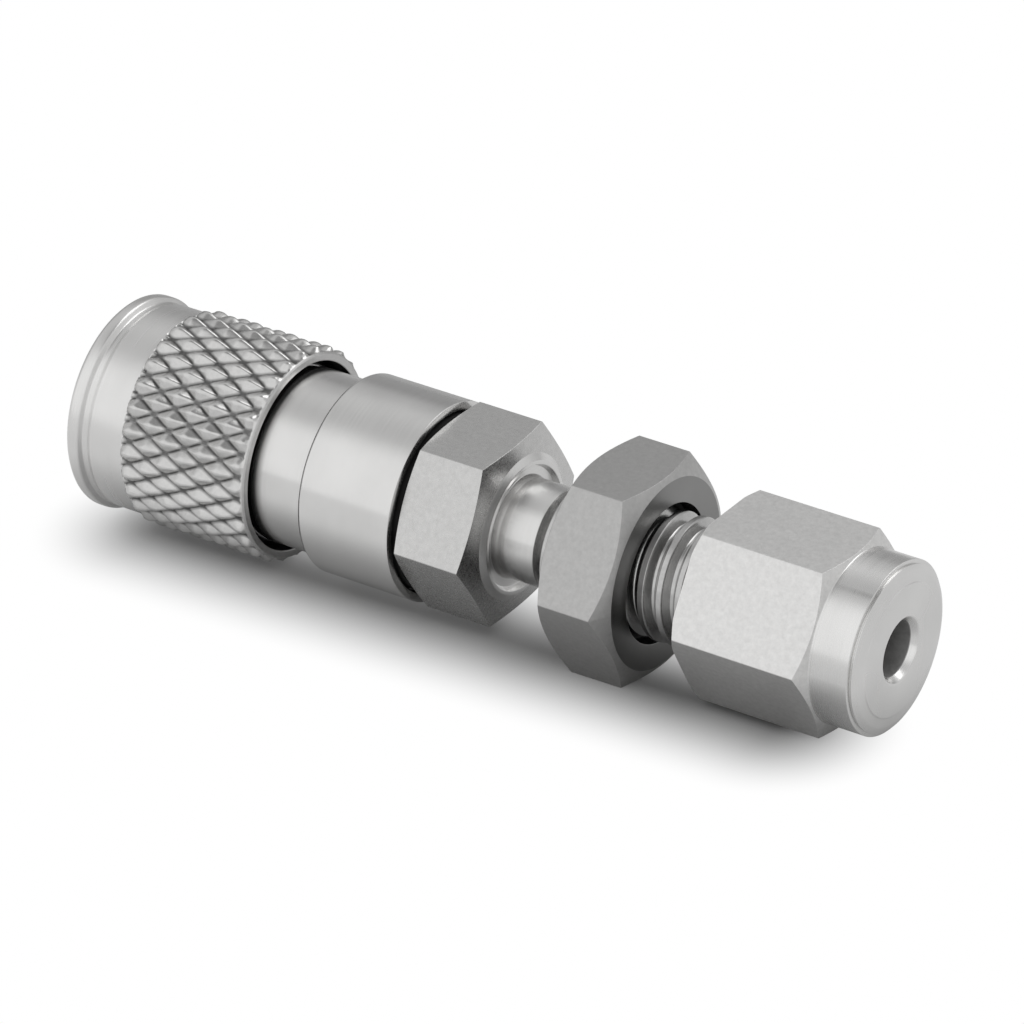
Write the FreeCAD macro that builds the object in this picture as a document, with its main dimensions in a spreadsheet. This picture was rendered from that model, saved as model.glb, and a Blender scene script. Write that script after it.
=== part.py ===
import FreeCAD, Part

import math
import os
import re

import Sketcher

# A small quick connect coupling for a panel: a knurled sleeve over a socket with locking balls,
# a spring-loaded valve behind it, a threaded shank with a jam nut, and a compression end for a tube.
# The axis is X, from the stem's mouth at the left to the tube's end at the right, and Z is up.
# The origin is on the axis, where the straight wall of the stem's socket starts.

# driving dimensions, in millimetres and degrees
SIZES = {
    # socket for the stem, turned in the front body
    "stem_bore_radius": 3.5,
    "stem_bore_length": 3.5,
    "mouth_lead": 0.4,
    "mouth_edge": 0.2,
    "probe_step": 0.3,
    "barrel_wall": 1.22,
    "barrel_length": 12.0,
    # outside of the front body behind the barrel
    "narrow_step": 0.83,
    "narrow_length": 4.29,
    "wide_step": 0.75,
    "wide_length": 6.54,
    "wide_chamfer": 0.45,
    "wide_end_chamfer": 0.2,
    # valve chamber
    "seat_setback": 0.5,
    "seat_thickness": 0.8,
    "seat_radius": 2.4,
    "chamber_wall": 1.55,
    "joint_thread_length": 3.33,
    "joint_thread_wall": 1.4,
    # locking balls
    "ball_place": 5.0,
    "ball_radius": 1.0,
    "ball_proud": 0.03,
    "ball_travel": 0.5,
    "ball_clearance": 0.04,
    # sleeve
    "sleeve_overhang": 0.3,
    "sleeve_overlap": 0.5,
    "sleeve_travel": 3.0,
    "sleeve_slip": 0.06,
    "sleeve_gap": 0.6,
    "sleeve_wall": 0.7,
    "cam_clearance": 0.03,
    "land_end": 6.5,
    "lip_length": 1.0,
    "lip_chamfer": 0.18,
    "lip_inset": 0.05,
    "lip_groove_width": 0.55,
    "lip_groove_depth": 0.5,
    "band_length": 2.6,
    "band_depth": 0.35,
    "band_ramp": 0.25,
    "rim_length": 0.45,
    "rim_drop": 0.35,
    "rim_shoulder_length": 0.25,
    "rim_shoulder_drop": 0.125,
    # ring that the sleeve rests on
    "ring_place": 0.9,
    "ring_thickness": 0.7,
    "ring_side_play": 0.05,
    "ring_groove_depth": 0.52,
    "ring_stand": 0.83,
    "ring_split": 1.2,
    "ring_clearance": 0.1,
    # sleeve spring
    "sleeve_wire": 0.6,
    "sleeve_spring_turns": 3.5,
    "spring_clearance": 0.06,
    # stem seal
    "stem_seal_place": 8.2,
    "stem_seal_section": 0.9,
    "stem_seal_squeeze": 0.08,
    "backup_width": 0.85,
    "seal_clearance": 0.03,
    # poppet valve
    "poppet_nose_radius": 1.5,
    "poppet_nose_length": 1.5,
    "poppet_nose_chamfer": 0.3,
    "poppet_head_radius": 3.3,
    "poppet_head_gap": 0.2,
    "poppet_head_length": 1.7,
    "poppet_tail_radius": 0.9,
    "poppet_tail_overhang": 1.6,
    "poppet_seal_inner": 2.2,
    "poppet_seal_outer": 3.0,
    "poppet_seal_depth": 0.55,
    "poppet_wire": 0.4,
    "poppet_spring_turns": 4.0,
    "poppet_spring_space": 0.2,
    "guide_thickness": 0.7,
    "guide_clearance": 0.05,
    "guide_hole_radius": 0.75,
    "guide_hole_pitch": 2.65,
    # joint between the two bodies
    "joint_gap": 0.32,
    "joint_clearance": 0.05,
    "body_seal_section": 0.84,
    # bulkhead body
    "body_hex_flats": 11.11,
    "body_hex_length": 5.15,
    "body_hex_turn": 3.5,
    "body_hex_face": 5.9,
    "body_hex_lead": 0.3,
    "body_hex_bevel": 0.42,
    "boss_radius": 4.6,
    "boss_face_radius": 4.2,
    "boss_height": 0.29,
    "boss_inner_radius": 3.45,
    "boss_fillet": 0.3,
    "neck_radius": 3.15,
    "neck_length": 2.87,
    "thread_lead": 1.02,
    "thread_radius": 3.97,
    "thread_length": 17.91,
    "thread_end_chamfer": 0.5,
    "thread_clearance": 0.05,
    "counterbore_radius": 3.4,
    "counterbore_depth": 2.2,
    "counterbore_cone": 1.3,
    "flow_radius": 1.2,
    # tube end
    "tube_radius": 1.5875,
    "tube_clearance": 0.0425,
    "tube_socket_depth": 5.6,
    "mouth_cone_length": 3.0,
    "mouth_cone_rise": 1.12,
    "ferrule_clearance": 0.06,
    "ferrule_setback": 0.9,
    "ferrule_flange": 0.9,
    "ferrule_countersink": 0.57,
    "back_ferrule_flange": 0.85,
    "back_ferrule_nose": 0.25,
    "back_ferrule_chamfer": 0.2,
    # nuts
    "jam_nut_offset": 1.31,
    "jam_nut_flats": 12.7,
    "jam_nut_thickness": 5.05,
    "jam_nut_face": 6.0,
    "jam_nut_lead": 0.77,
    "nut_bore_chamfer": 0.35,
    "tube_nut_flats": 11.1125,
    "tube_nut_engagement": 7.4,
    "tube_nut_length": 12.05,
    "tube_nut_face": 5.9,
    "tube_nut_lead": 0.3,
    "tube_nut_bevel": 0.52,
    "tube_nut_stop": 0.3,
    "collar_length": 3.05,
    "collar_radius": 5.4,
    "collar_step": 0.2,
    "nose_length": 0.43,
    "nose_face_radius": 4.1,
    "nose_bulge": 0.14,
    "tube_hole_chamfer": 0.47,
}

# sizes and places that follow from the driving dimensions
PLACES = {
    # radii, from the socket outwards
    "probe_radius": "stem_bore_radius - probe_step",
    "barrel_radius": "stem_bore_radius + barrel_wall",
    "narrow_radius": "barrel_radius + narrow_step",
    "wide_radius": "narrow_radius + wide_step",
    "chamber_radius": "narrow_radius - chamber_wall",
    "joint_bore_radius": "wide_radius - joint_thread_wall",
    "spigot_radius": "joint_bore_radius - joint_clearance",
    "ball_pitch": "barrel_radius + ball_proud - ball_radius",
    "sleeve_bore": "narrow_radius + sleeve_gap",
    "sleeve_radius": "sleeve_bore + sleeve_wall",
    "land_radius": "barrel_radius + sleeve_slip",
    "ring_inner": "barrel_radius - ring_groove_depth",
    "ring_outer": "barrel_radius + ring_stand",
    "ring_recess": "ring_outer + ring_clearance",
    # places along the axis, from the mouth to the tube
    "wide_start": "barrel_length + narrow_length",
    "wide_end": "wide_start + wide_length",
    "seat_start": "barrel_length + seat_setback",
    "chamber_start": "seat_start + seat_thickness",
    "chamber_end": "wide_end - joint_thread_length",
    "spigot_start": "chamber_end + guide_thickness",
    "hex_start": "wide_end + joint_gap",
    "hex_end": "hex_start + body_hex_length",
    "boss_end": "hex_end + boss_height",
    "neck_end": "hex_end + neck_length",
    "thread_start": "neck_end + thread_lead",
    "shank_end": "thread_start + thread_length",
    "jam_nut_start": "thread_start + jam_nut_offset",
    "jam_nut_end": "jam_nut_start + jam_nut_thickness",
    "tube_nut_start": "shank_end - tube_nut_engagement",
    "tube_nut_end": "tube_nut_start + tube_nut_length",
    "collar_start": "tube_nut_end - collar_length",
    "collar_end": "tube_nut_end - nose_length",
    # ring and sleeve
    "ring_start": "ring_place + ring_side_play",
    "ring_end": "ring_start + ring_thickness",
    "sleeve_stop": "ring_end + ring_side_play",
    "sleeve_start": "-(mouth_lead + sleeve_overhang)",
    "sleeve_end": "barrel_length + sleeve_overlap",
    "lip_end": "sleeve_start + lip_length",
    "groove_end": "lip_end + lip_groove_width",
    "band_end": "groove_end + band_length",
    # the cam stays parallel to the path of the balls while the sleeve slides back
    "cam_slope": "ball_travel / sleeve_travel",
    "cam_reach": "(ball_radius + cam_clearance) * sqrt(1 + cam_slope * cam_slope)",
    "cam_front_radius": "ball_pitch + cam_reach + (ball_place - sleeve_stop) * cam_slope",
    "cam_end": "ball_place + (ball_pitch + cam_reach - land_radius) / cam_slope",
    "sleeve_spring_radius": "barrel_radius + 2 * spring_clearance + sleeve_wire",
    # stem seal
    "seal_section_radius": "stem_seal_section / 2",
    "stem_groove_radius": "probe_radius + stem_seal_section + seal_clearance - stem_seal_squeeze",
    "backup_start": "stem_seal_place + stem_seal_section + 2 * seal_clearance",
    "backup_end": "backup_start + backup_width",
    "stem_groove_end": "backup_end + seal_clearance",
    # seal between the bodies
    "body_seal_radius": "body_seal_section / 2",
    "body_seal_recess": "spigot_radius + body_seal_section + 2 * seal_clearance",
    "body_seal_floor": "hex_start - body_seal_section - 2 * seal_clearance",
    # poppet
    "head_start": "chamber_start + poppet_head_gap",
    "head_end": "head_start + poppet_head_length",
    "nose_start": "seat_start - poppet_nose_length",
    "tail_end": "spigot_start + poppet_tail_overhang",
    "guide_radius": "joint_bore_radius - guide_clearance",
    "poppet_spring_radius": "poppet_tail_radius + poppet_spring_space + poppet_wire",
    # tube end
    "tube_bore": "tube_radius + tube_clearance",
    "socket_floor": "shank_end - tube_socket_depth",
    "cone_start": "shank_end - mouth_cone_length",
    "cone_slope": "mouth_cone_rise / mouth_cone_length",
    "mouth_radius": "tube_bore + mouth_cone_rise",
    "ferrule_start": "cone_start + ferrule_setback",
    "ferrule_nose": "tube_bore + ferrule_setback * cone_slope - ferrule_clearance",
    "ferrule_radius": "mouth_radius - ferrule_clearance",
    "ferrule_end": "shank_end + ferrule_flange",
    "back_start": "ferrule_end - ferrule_countersink + ferrule_clearance + back_ferrule_nose",
    "back_face": "ferrule_end + ferrule_clearance",
    "back_end": "back_face + back_ferrule_flange",
    "nut_stop": "shank_end + tube_nut_stop",
    "nut_shoulder": "back_end + ferrule_clearance",
    "nut_bore": "thread_radius + thread_clearance",
    "nose_middle": "(collar_end + tube_nut_end) / 2 + nose_bulge",
    "nose_middle_radius": "(collar_radius + nose_face_radius) / 2",
}

HEX_SIDES = 6
BALLS = 6
GUIDE_HOLES = 4
# how far a cutting outline reaches past the piece, in millimetres
OVERSIZE = 3.0
# the least that a cut takes away, in cubic millimetres
LEAST_CUT = 1e-4


def tied(text):
    """Write a size in terms of the sheet's cells."""

    def cell(match):
        word = match.group(0)
        if word in SIZES:
            return f"Sizes.{word}"
        if word in PLACES:
            return f"({tied(PLACES[word])})"
        return word

    return re.sub(r"[a-z_]+", cell, text)


def value(text):
    """Work out a size as a number, for a sketch's first guess."""
    return float(doc.getObject("Sizes").evalExpression(tied(text).replace("Sizes.", "")))


def make_sheet():
    sheet = doc.addObject("Spreadsheet::Sheet", "Sizes")
    for row, (alias, size) in enumerate(SIZES.items(), start=1):
        sheet.set(f"A{row}", alias)
        sheet.set(f"B{row}", str(size))
        sheet.setAlias(f"B{row}", alias)
    doc.recompute()


def new_body(label):
    body = doc.addObject("PartDesign::Body", label)
    body.Label = label
    return body


def plane_of(body, role):
    return next(part for part in body.Origin.OriginFeatures if part.Role == role)


def new_sketch(body, name, role, along=None, turn=None, across=None):
    """Attach a sketch to an origin plane: moved off it by along, turned in it, or moved across it."""
    sketch = body.newObject("Sketcher::SketchObject", name)
    sketch.AttachmentSupport = (plane_of(body, role), [""])
    sketch.MapMode = "FlatFace"
    if along:
        sketch.setExpression("AttachmentOffset.Base.z", tied(along))
    if turn:
        sketch.setExpression("AttachmentOffset.Rotation.Angle", tied(turn))
    if across:
        sketch.setExpression("AttachmentOffset.Base.x", tied(across))
    return sketch


def fix_point(sketch, line, end, x_text, y_text):
    """Hold one end of a line at a place that the sheet gives, or on an axis where the place is 0."""
    for kind, axis, text in (("DistanceX", -2, x_text), ("DistanceY", -1, y_text)):
        if text == "0":
            sketch.addConstraint(Sketcher.Constraint("PointOnObject", line, end, axis))
        else:
            rule = Sketcher.Constraint(kind, -1, 1, line, end, value(text))
            index = sketch.addConstraint(rule)
            sketch.setExpression(f"Constraints[{index}]", tied(text))


def draw_outline(sketch, points):
    """Draw a closed outline of straight lines through (x, y) places."""
    spots = [FreeCAD.Vector(value(x), value(y), 0) for x, y in points]
    count = len(points)
    for number in range(count):
        sketch.addGeometry(Part.LineSegment(spots[number], spots[(number + 1) % count]), False)
    for number in range(count):
        after = (number + 1) % count
        sketch.addConstraint(Sketcher.Constraint("Coincident", number, 2, after, 1))
    for number, (x, y) in enumerate(points):
        fix_point(sketch, number, 1, x, y)


def revolve(body, points):
    """Turn an outline of (place along the axis, radius) into a solid of revolution."""
    sketch = new_sketch(body, "TurnedOutline", "XY_Plane")
    draw_outline(sketch, points)
    turned = body.newObject("PartDesign::Revolution", "Turned")
    turned.Profile = sketch
    turned.ReferenceAxis = (sketch, ["H_Axis"])
    turned.Angle = 360
    body.Tip = turned
    doc.recompute()


def mill_hexagon(body, start, length, flats, turn=None):
    """Cut the flats of a hexagon into a turned stretch: a pair of flats faces up and down."""
    sketch = new_sketch(body, "FlatsOutline", "YZ_Plane", along=start, turn=turn)
    corner = f"{flats} / sqrt(3)"
    radius = value(corner)
    centre = FreeCAD.Vector(0, 0, 0)
    facing = FreeCAD.Vector(0, 0, 1)
    spots = []
    for number in range(HEX_SIDES):
        angle = 2 * math.pi * number / HEX_SIDES
        spots.append(FreeCAD.Vector(radius * math.cos(angle), radius * math.sin(angle), 0))
    for number in range(HEX_SIDES):
        line = Part.LineSegment(spots[number], spots[(number + 1) % HEX_SIDES])
        sketch.addGeometry(line, False)
    guide = sketch.addGeometry(Part.Circle(centre, facing, radius), True)
    outer = sketch.addGeometry(Part.Circle(centre, facing, radius + OVERSIZE), False)
    for number in range(HEX_SIDES):
        after = (number + 1) % HEX_SIDES
        sketch.addConstraint(Sketcher.Constraint("Coincident", number, 2, after, 1))
    for circle, text in ((guide, corner), (outer, f"{corner} + {OVERSIZE}")):
        sketch.addConstraint(Sketcher.Constraint("Coincident", circle, 3, -1, 1))
        index = sketch.addConstraint(Sketcher.Constraint("Radius", circle, value(text)))
        sketch.setExpression(f"Constraints[{index}]", tied(text))
    for number in range(HEX_SIDES):
        sketch.addConstraint(Sketcher.Constraint("PointOnObject", number, 1, guide))
    for number in range(1, HEX_SIDES):
        sketch.addConstraint(Sketcher.Constraint("Equal", 0, number))
    sketch.addConstraint(Sketcher.Constraint("PointOnObject", 0, 1, -1))
    cut_away(body, sketch, "Flats", length)


def finish_cut(body, cut):
    """Add a cut to its body, and check that it takes material away."""
    before = body.Shape.Volume
    body.Tip = cut
    doc.recompute()
    if body.Shape.Volume > before - LEAST_CUT:
        raise RuntimeError(f"{body.Label}: {cut.Label} cuts nothing")


def cut_away(body, sketch, name, length):
    """Pocket a sketch of a YZ plane towards +X."""
    doc.recompute()
    pocket = body.newObject("PartDesign::Pocket", name)
    pocket.Profile = sketch
    pocket.Type = "Length"
    pocket.setExpression("Length", tied(length))
    pocket.Reversed = True
    finish_cut(body, pocket)
    return pocket


def repeat_round(body, feature, count, name):
    """Repeat a cut evenly round the X axis."""
    pattern = body.newObject("PartDesign::PolarPattern", name)
    pattern.Originals = [feature]
    pattern.Axis = (plane_of(body, "X_Axis"), [""])
    pattern.Angle = 360
    pattern.Occurrences = count
    body.Tip = pattern
    doc.recompute()


def make_ring(label, place, radius, section_radius):
    """A round-section ring about the X axis."""
    ring = doc.addObject("Part::Torus", label)
    ring.Label = label
    ring.Placement = FreeCAD.Placement(
        FreeCAD.Vector(0, 0, 0), FreeCAD.Rotation(FreeCAD.Vector(0, 1, 0), 90)
    )
    ring.setExpression("Radius1", tied(radius))
    ring.setExpression("Radius2", tied(section_radius))
    ring.setExpression("Placement.Base.x", tied(place))
    return ring


def make_coil(label, start, end, radius, wire, turns):
    """A coil spring of round wire between two faces."""
    body = new_body(label)
    sketch = new_sketch(body, "Wire", "XY_Plane")
    first = f"{start} + {wire} / 2 + spring_clearance"
    spot = FreeCAD.Vector(value(first), value(radius), 0)
    circle = Part.Circle(spot, FreeCAD.Vector(0, 0, 1), value(f"{wire} / 2"))
    sketch.addGeometry(circle, False)
    fix_point(sketch, 0, 3, first, radius)
    index = sketch.addConstraint(Sketcher.Constraint("Radius", 0, value(f"{wire} / 2")))
    sketch.setExpression(f"Constraints[{index}]", tied(f"{wire} / 2"))
    coil = body.newObject("PartDesign::AdditiveHelix", "Coil")
    coil.Profile = sketch
    coil.ReferenceAxis = (sketch, ["H_Axis"])
    coil.Mode = "height-turns-angle"
    coil.setExpression("Height", tied(f"{end} - {start} - {wire} - 2 * spring_clearance"))
    coil.setExpression("Turns", tied(turns))
    body.Tip = coil
    doc.recompute()
    return body


def make_front_body():
    """Socket, valve seat and chamber, with a thread for the bulkhead body at its right end."""
    body = new_body("front_body")
    revolve(
        body,
        [
            ("-mouth_lead", "stem_bore_radius + mouth_lead"),
            ("-mouth_lead", "barrel_radius - mouth_edge"),
            ("-mouth_lead + mouth_edge", "barrel_radius"),
            ("ring_place", "barrel_radius"),
            ("ring_place", "ring_inner"),
            ("ring_end + ring_side_play", "ring_inner"),
            ("ring_end + ring_side_play", "barrel_radius"),
            ("barrel_length", "barrel_radius"),
            ("barrel_length", "narrow_radius"),
            ("wide_start", "narrow_radius"),
            ("wide_start", "wide_radius - wide_chamfer"),
            ("wide_start + wide_chamfer", "wide_radius"),
            ("wide_end - wide_end_chamfer", "wide_radius"),
            ("wide_end", "wide_radius - wide_end_chamfer"),
            ("wide_end", "body_seal_recess"),
            ("body_seal_floor", "body_seal_recess"),
            ("body_seal_floor", "joint_bore_radius"),
            ("chamber_end", "joint_bore_radius"),
            ("chamber_end", "chamber_radius"),
            ("chamber_start", "chamber_radius"),
            ("chamber_start", "seat_radius"),
            ("seat_start", "seat_radius"),
            ("seat_start", "probe_radius"),
            ("stem_groove_end", "probe_radius"),
            ("stem_groove_end", "stem_groove_radius"),
            ("stem_seal_place - seal_clearance", "stem_groove_radius"),
            ("stem_seal_place - seal_clearance", "probe_radius"),
            ("stem_bore_length + probe_step", "probe_radius"),
            ("stem_bore_length", "stem_bore_radius"),
            ("0", "stem_bore_radius"),
        ],
    )
    drill_ball_holes(body)
    return body


def drill_ball_holes(body):
    """Round-ended holes from outside, open to the bore by less than a ball."""
    hole_radius = "(ball_radius + ball_clearance)"
    sketch = new_sketch(body, "BallHoleOutline", "XZ_Plane", across="ball_place")
    radius = value(hole_radius)
    pitch = value("ball_pitch")
    top = pitch + radius + OVERSIZE
    centre = FreeCAD.Vector(0, pitch, 0)
    side = FreeCAD.Vector(radius, pitch, 0)
    bottom = FreeCAD.Vector(0, pitch - radius, 0)
    facing = FreeCAD.Vector(0, 0, 1)
    arc = Part.ArcOfCircle(Part.Circle(centre, facing, radius), -math.pi / 2, 0)
    sketch.addGeometry(arc, False)
    corner = FreeCAD.Vector(radius, top, 0)
    head = FreeCAD.Vector(0, top, 0)
    sketch.addGeometry(Part.LineSegment(side, corner), False)
    sketch.addGeometry(Part.LineSegment(corner, head), False)
    sketch.addGeometry(Part.LineSegment(head, bottom), False)
    joined = ((0, 2, 1, 1), (1, 2, 2, 1), (2, 2, 3, 1), (3, 2, 0, 1))
    for first, first_end, second, second_end in joined:
        rule = Sketcher.Constraint("Coincident", first, first_end, second, second_end)
        sketch.addConstraint(rule)
    sketch.addConstraint(Sketcher.Constraint("Vertical", 1))
    sketch.addConstraint(Sketcher.Constraint("Horizontal", 2))
    sketch.addConstraint(Sketcher.Constraint("PointOnObject", 3, 1, -2))
    sketch.addConstraint(Sketcher.Constraint("PointOnObject", 3, 2, -2))
    fix_point(sketch, 0, 3, "0", "ball_pitch")
    fix_point(sketch, 1, 1, hole_radius, "ball_pitch")
    index = sketch.addConstraint(Sketcher.Constraint("DistanceY", 1, 1, 1, 2, radius + OVERSIZE))
    sketch.setExpression(f"Constraints[{index}]", tied(f"{hole_radius} + {OVERSIZE}"))
    doc.recompute()
    hole = body.newObject("PartDesign::Groove", "BallHole")
    hole.Profile = sketch
    hole.ReferenceAxis = (sketch, ["V_Axis"])
    hole.Angle = 360
    finish_cut(body, hole)
    repeat_round(body, hole, BALLS, "BallHoles")


def make_locking_sleeve():
    """Knurled sleeve: recess for its ring, cam and land for the balls, and room for its spring."""
    body = new_body("locking_sleeve")
    revolve(
        body,
        [
            ("sleeve_start", "ring_recess"),
            ("sleeve_start", "sleeve_radius - lip_inset - lip_chamfer"),
            ("sleeve_start + lip_chamfer", "sleeve_radius - lip_inset"),
            ("lip_end", "sleeve_radius - lip_inset"),
            ("lip_end", "sleeve_radius - lip_groove_depth"),
            ("groove_end", "sleeve_radius - lip_groove_depth"),
            ("groove_end", "sleeve_radius - band_depth"),
            ("band_end - band_ramp", "sleeve_radius - band_depth"),
            ("band_end", "sleeve_radius"),
            ("sleeve_end - rim_length", "sleeve_radius"),
            ("sleeve_end - rim_shoulder_length", "sleeve_radius - rim_shoulder_drop"),
            ("sleeve_end", "sleeve_radius - rim_drop"),
            ("sleeve_end", "sleeve_bore"),
            ("land_end", "sleeve_bore"),
            ("land_end", "land_radius"),
            ("cam_end", "land_radius"),
            ("sleeve_stop", "cam_front_radius"),
            ("sleeve_stop", "ring_recess"),
        ],
    )
    return body


def make_retaining_ring():
    """Split ring in the barrel's groove, which the sleeve's recess comes to rest on."""
    body = new_body("sleeve_retaining_ring")
    revolve(
        body,
        [
            ("ring_start", "ring_inner + ring_side_play"),
            ("ring_start", "ring_outer"),
            ("ring_end", "ring_outer"),
            ("ring_end", "ring_inner + ring_side_play"),
        ],
    )
    sketch = new_sketch(body, "SplitOutline", "YZ_Plane", along="ring_place")
    draw_outline(
        sketch,
        [
            ("-ring_split / 2", "0"),
            ("ring_split / 2", "0"),
            ("ring_split / 2", "ring_outer + ring_clearance"),
            ("-ring_split / 2", "ring_outer + ring_clearance"),
        ],
    )
    cut_away(body, sketch, "Split", "ring_thickness + 2 * ring_side_play")
    return body


def make_balls():
    balls = []
    for number in range(BALLS):
        ball = doc.addObject("Part::Sphere", f"locking_ball_{number + 1}")
        ball.Label = f"locking_ball_{number + 1}"
        angle = 360 * number / BALLS
        ball.setExpression("Radius", tied("ball_radius"))
        ball.setExpression("Placement.Base.x", tied("ball_place"))
        ball.setExpression("Placement.Base.y", tied(f"-ball_pitch * sin({angle} deg)"))
        ball.setExpression("Placement.Base.z", tied(f"ball_pitch * cos({angle} deg)"))
        balls.append(ball)
    return balls


def make_backup_ring():
    """Stiff ring beside the stem seal, in the same groove."""
    body = new_body("backup_ring")
    revolve(
        body,
        [
            ("backup_start", "probe_radius + seal_clearance"),
            ("backup_start", "stem_groove_radius - seal_clearance"),
            ("backup_end", "stem_groove_radius - seal_clearance"),
            ("backup_end", "probe_radius + seal_clearance"),
        ],
    )
    return body


def make_poppet():
    """Valve: a nose that the stem pushes, a head with a recess for its seal, and a guided tail."""
    body = new_body("poppet")
    revolve(
        body,
        [
            ("nose_start", "0"),
            ("nose_start", "poppet_nose_radius - poppet_nose_chamfer"),
            ("nose_start + poppet_nose_chamfer", "poppet_nose_radius"),
            ("head_start", "poppet_nose_radius"),
            ("head_start", "poppet_seal_inner"),
            ("head_start + poppet_seal_depth", "poppet_seal_inner"),
            ("head_start + poppet_seal_depth", "poppet_seal_outer"),
            ("head_start", "poppet_seal_outer"),
            ("head_start", "poppet_head_radius"),
            ("head_end", "poppet_head_radius"),
            ("head_end", "poppet_tail_radius"),
            ("tail_end - poppet_nose_chamfer", "poppet_tail_radius"),
            ("tail_end", "poppet_tail_radius - poppet_nose_chamfer"),
            ("tail_end", "0"),
        ],
    )
    return body


def make_poppet_seal():
    """Flat ring in the poppet's head, which closes on the seat."""
    body = new_body("poppet_seal")
    revolve(
        body,
        [
            ("chamber_start + seal_clearance", "poppet_seal_inner + seal_clearance"),
            ("chamber_start + seal_clearance", "poppet_seal_outer - seal_clearance"),
            ("head_start + poppet_seal_depth", "poppet_seal_outer - seal_clearance"),
            ("head_start + poppet_seal_depth", "poppet_seal_inner + seal_clearance"),
        ],
    )
    return body


def make_poppet_guide():
    """Disc between the two bodies that guides the poppet's tail and lets the fluid through."""
    body = new_body("poppet_guide")
    revolve(
        body,
        [
            ("chamber_end", "poppet_tail_radius + guide_clearance"),
            ("chamber_end", "guide_radius"),
            ("spigot_start", "guide_radius"),
            ("spigot_start", "poppet_tail_radius + guide_clearance"),
        ],
    )
    sketch = new_sketch(body, "FlowHoleOutline", "YZ_Plane", along="chamber_end")
    spot = FreeCAD.Vector(0, value("guide_hole_pitch"), 0)
    circle = Part.Circle(spot, FreeCAD.Vector(0, 0, 1), value("guide_hole_radius"))
    sketch.addGeometry(circle, False)
    fix_point(sketch, 0, 3, "0", "guide_hole_pitch")
    index = sketch.addConstraint(Sketcher.Constraint("Radius", 0, value("guide_hole_radius")))
    sketch.setExpression(f"Constraints[{index}]", tied("guide_hole_radius"))
    hole = cut_away(body, sketch, "FlowHole", "guide_thickness")
    repeat_round(body, hole, GUIDE_HOLES, "FlowHoles")
    return body


def make_bulkhead_body():
    """Spigot, hexagon, boss, neck and threaded shank in one piece, with the tube's socket."""
    body = new_body("bulkhead_body")
    hex_corner = "body_hex_flats / sqrt(3)"
    revolve(
        body,
        [
            ("spigot_start", "counterbore_radius"),
            ("spigot_start", "spigot_radius"),
            ("hex_start", "spigot_radius"),
            ("hex_start", "body_hex_face"),
            ("hex_start + body_hex_lead", hex_corner),
            ("hex_end - body_hex_bevel", hex_corner),
            ("hex_end", "boss_radius"),
            ("boss_end", "boss_face_radius"),
            ("boss_end", "boss_inner_radius"),
            ("boss_end + boss_fillet", "neck_radius"),
            ("neck_end", "neck_radius"),
            ("thread_start", "thread_radius"),
            ("shank_end - thread_end_chamfer", "thread_radius"),
            ("shank_end", "thread_radius - thread_end_chamfer"),
            ("shank_end", "mouth_radius"),
            ("cone_start", "tube_bore"),
            ("socket_floor", "tube_bore"),
            ("socket_floor", "flow_radius"),
            ("spigot_start + counterbore_depth + counterbore_cone", "flow_radius"),
            ("spigot_start + counterbore_depth", "counterbore_radius"),
        ],
    )
    mill_hexagon(body, "hex_start", "body_hex_length", "body_hex_flats", turn="body_hex_turn")
    return body


def make_jam_nut():
    """Panel nut, chamfered at both ends."""
    body = new_body("jam_nut")
    corner = "jam_nut_flats / sqrt(3)"
    revolve(
        body,
        [
            ("jam_nut_start", "nut_bore + nut_bore_chamfer"),
            ("jam_nut_start", "jam_nut_face"),
            ("jam_nut_start + jam_nut_lead", corner),
            ("jam_nut_end - jam_nut_lead", corner),
            ("jam_nut_end", "jam_nut_face"),
            ("jam_nut_end", "nut_bore + nut_bore_chamfer"),
            ("jam_nut_end - nut_bore_chamfer", "nut_bore"),
            ("jam_nut_start + nut_bore_chamfer", "nut_bore"),
        ],
    )
    mill_hexagon(body, "jam_nut_start", "jam_nut_thickness", "jam_nut_flats")
    return body


def make_tube_nut():
    """Nut that drives the ferrules, with a plain round collar and a domed end round the tube."""
    body = new_body("tube_nut")
    corner = "tube_nut_flats / sqrt(3)"
    revolve(
        body,
        [
            ("tube_nut_start", "nut_bore + nut_bore_chamfer"),
            ("tube_nut_start", "tube_nut_face"),
            ("tube_nut_start + tube_nut_lead", corner),
            ("collar_start - tube_nut_bevel", corner),
            ("collar_start", "collar_radius"),
            ("collar_end", "collar_radius"),
            ("collar_end", "collar_radius - collar_step"),
            ("nose_middle", "nose_middle_radius"),
            ("tube_nut_end", "nose_face_radius"),
            ("tube_nut_end", "tube_bore + tube_hole_chamfer"),
            ("tube_nut_end - tube_hole_chamfer", "tube_bore"),
            ("nut_shoulder", "tube_bore"),
            ("nut_shoulder", "ferrule_radius + ferrule_clearance"),
            ("nut_stop", "ferrule_radius + ferrule_clearance"),
            ("nut_stop", "nut_bore"),
            ("tube_nut_start + nut_bore_chamfer", "nut_bore"),
        ],
    )
    flats_length = "collar_start - tube_nut_start"
    mill_hexagon(body, "tube_nut_start", flats_length, "tube_nut_flats")
    return body


def make_front_ferrule():
    """Cone that the nut drives into the body's mouth and onto the tube."""
    body = new_body("front_ferrule")
    revolve(
        body,
        [
            ("ferrule_start", "tube_bore"),
            ("ferrule_start", "ferrule_nose"),
            ("shank_end", "ferrule_radius"),
            ("ferrule_end", "ferrule_radius"),
            ("ferrule_end", "tube_bore + ferrule_countersink"),
            ("ferrule_end - ferrule_countersink", "tube_bore"),
        ],
    )
    return body


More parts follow.
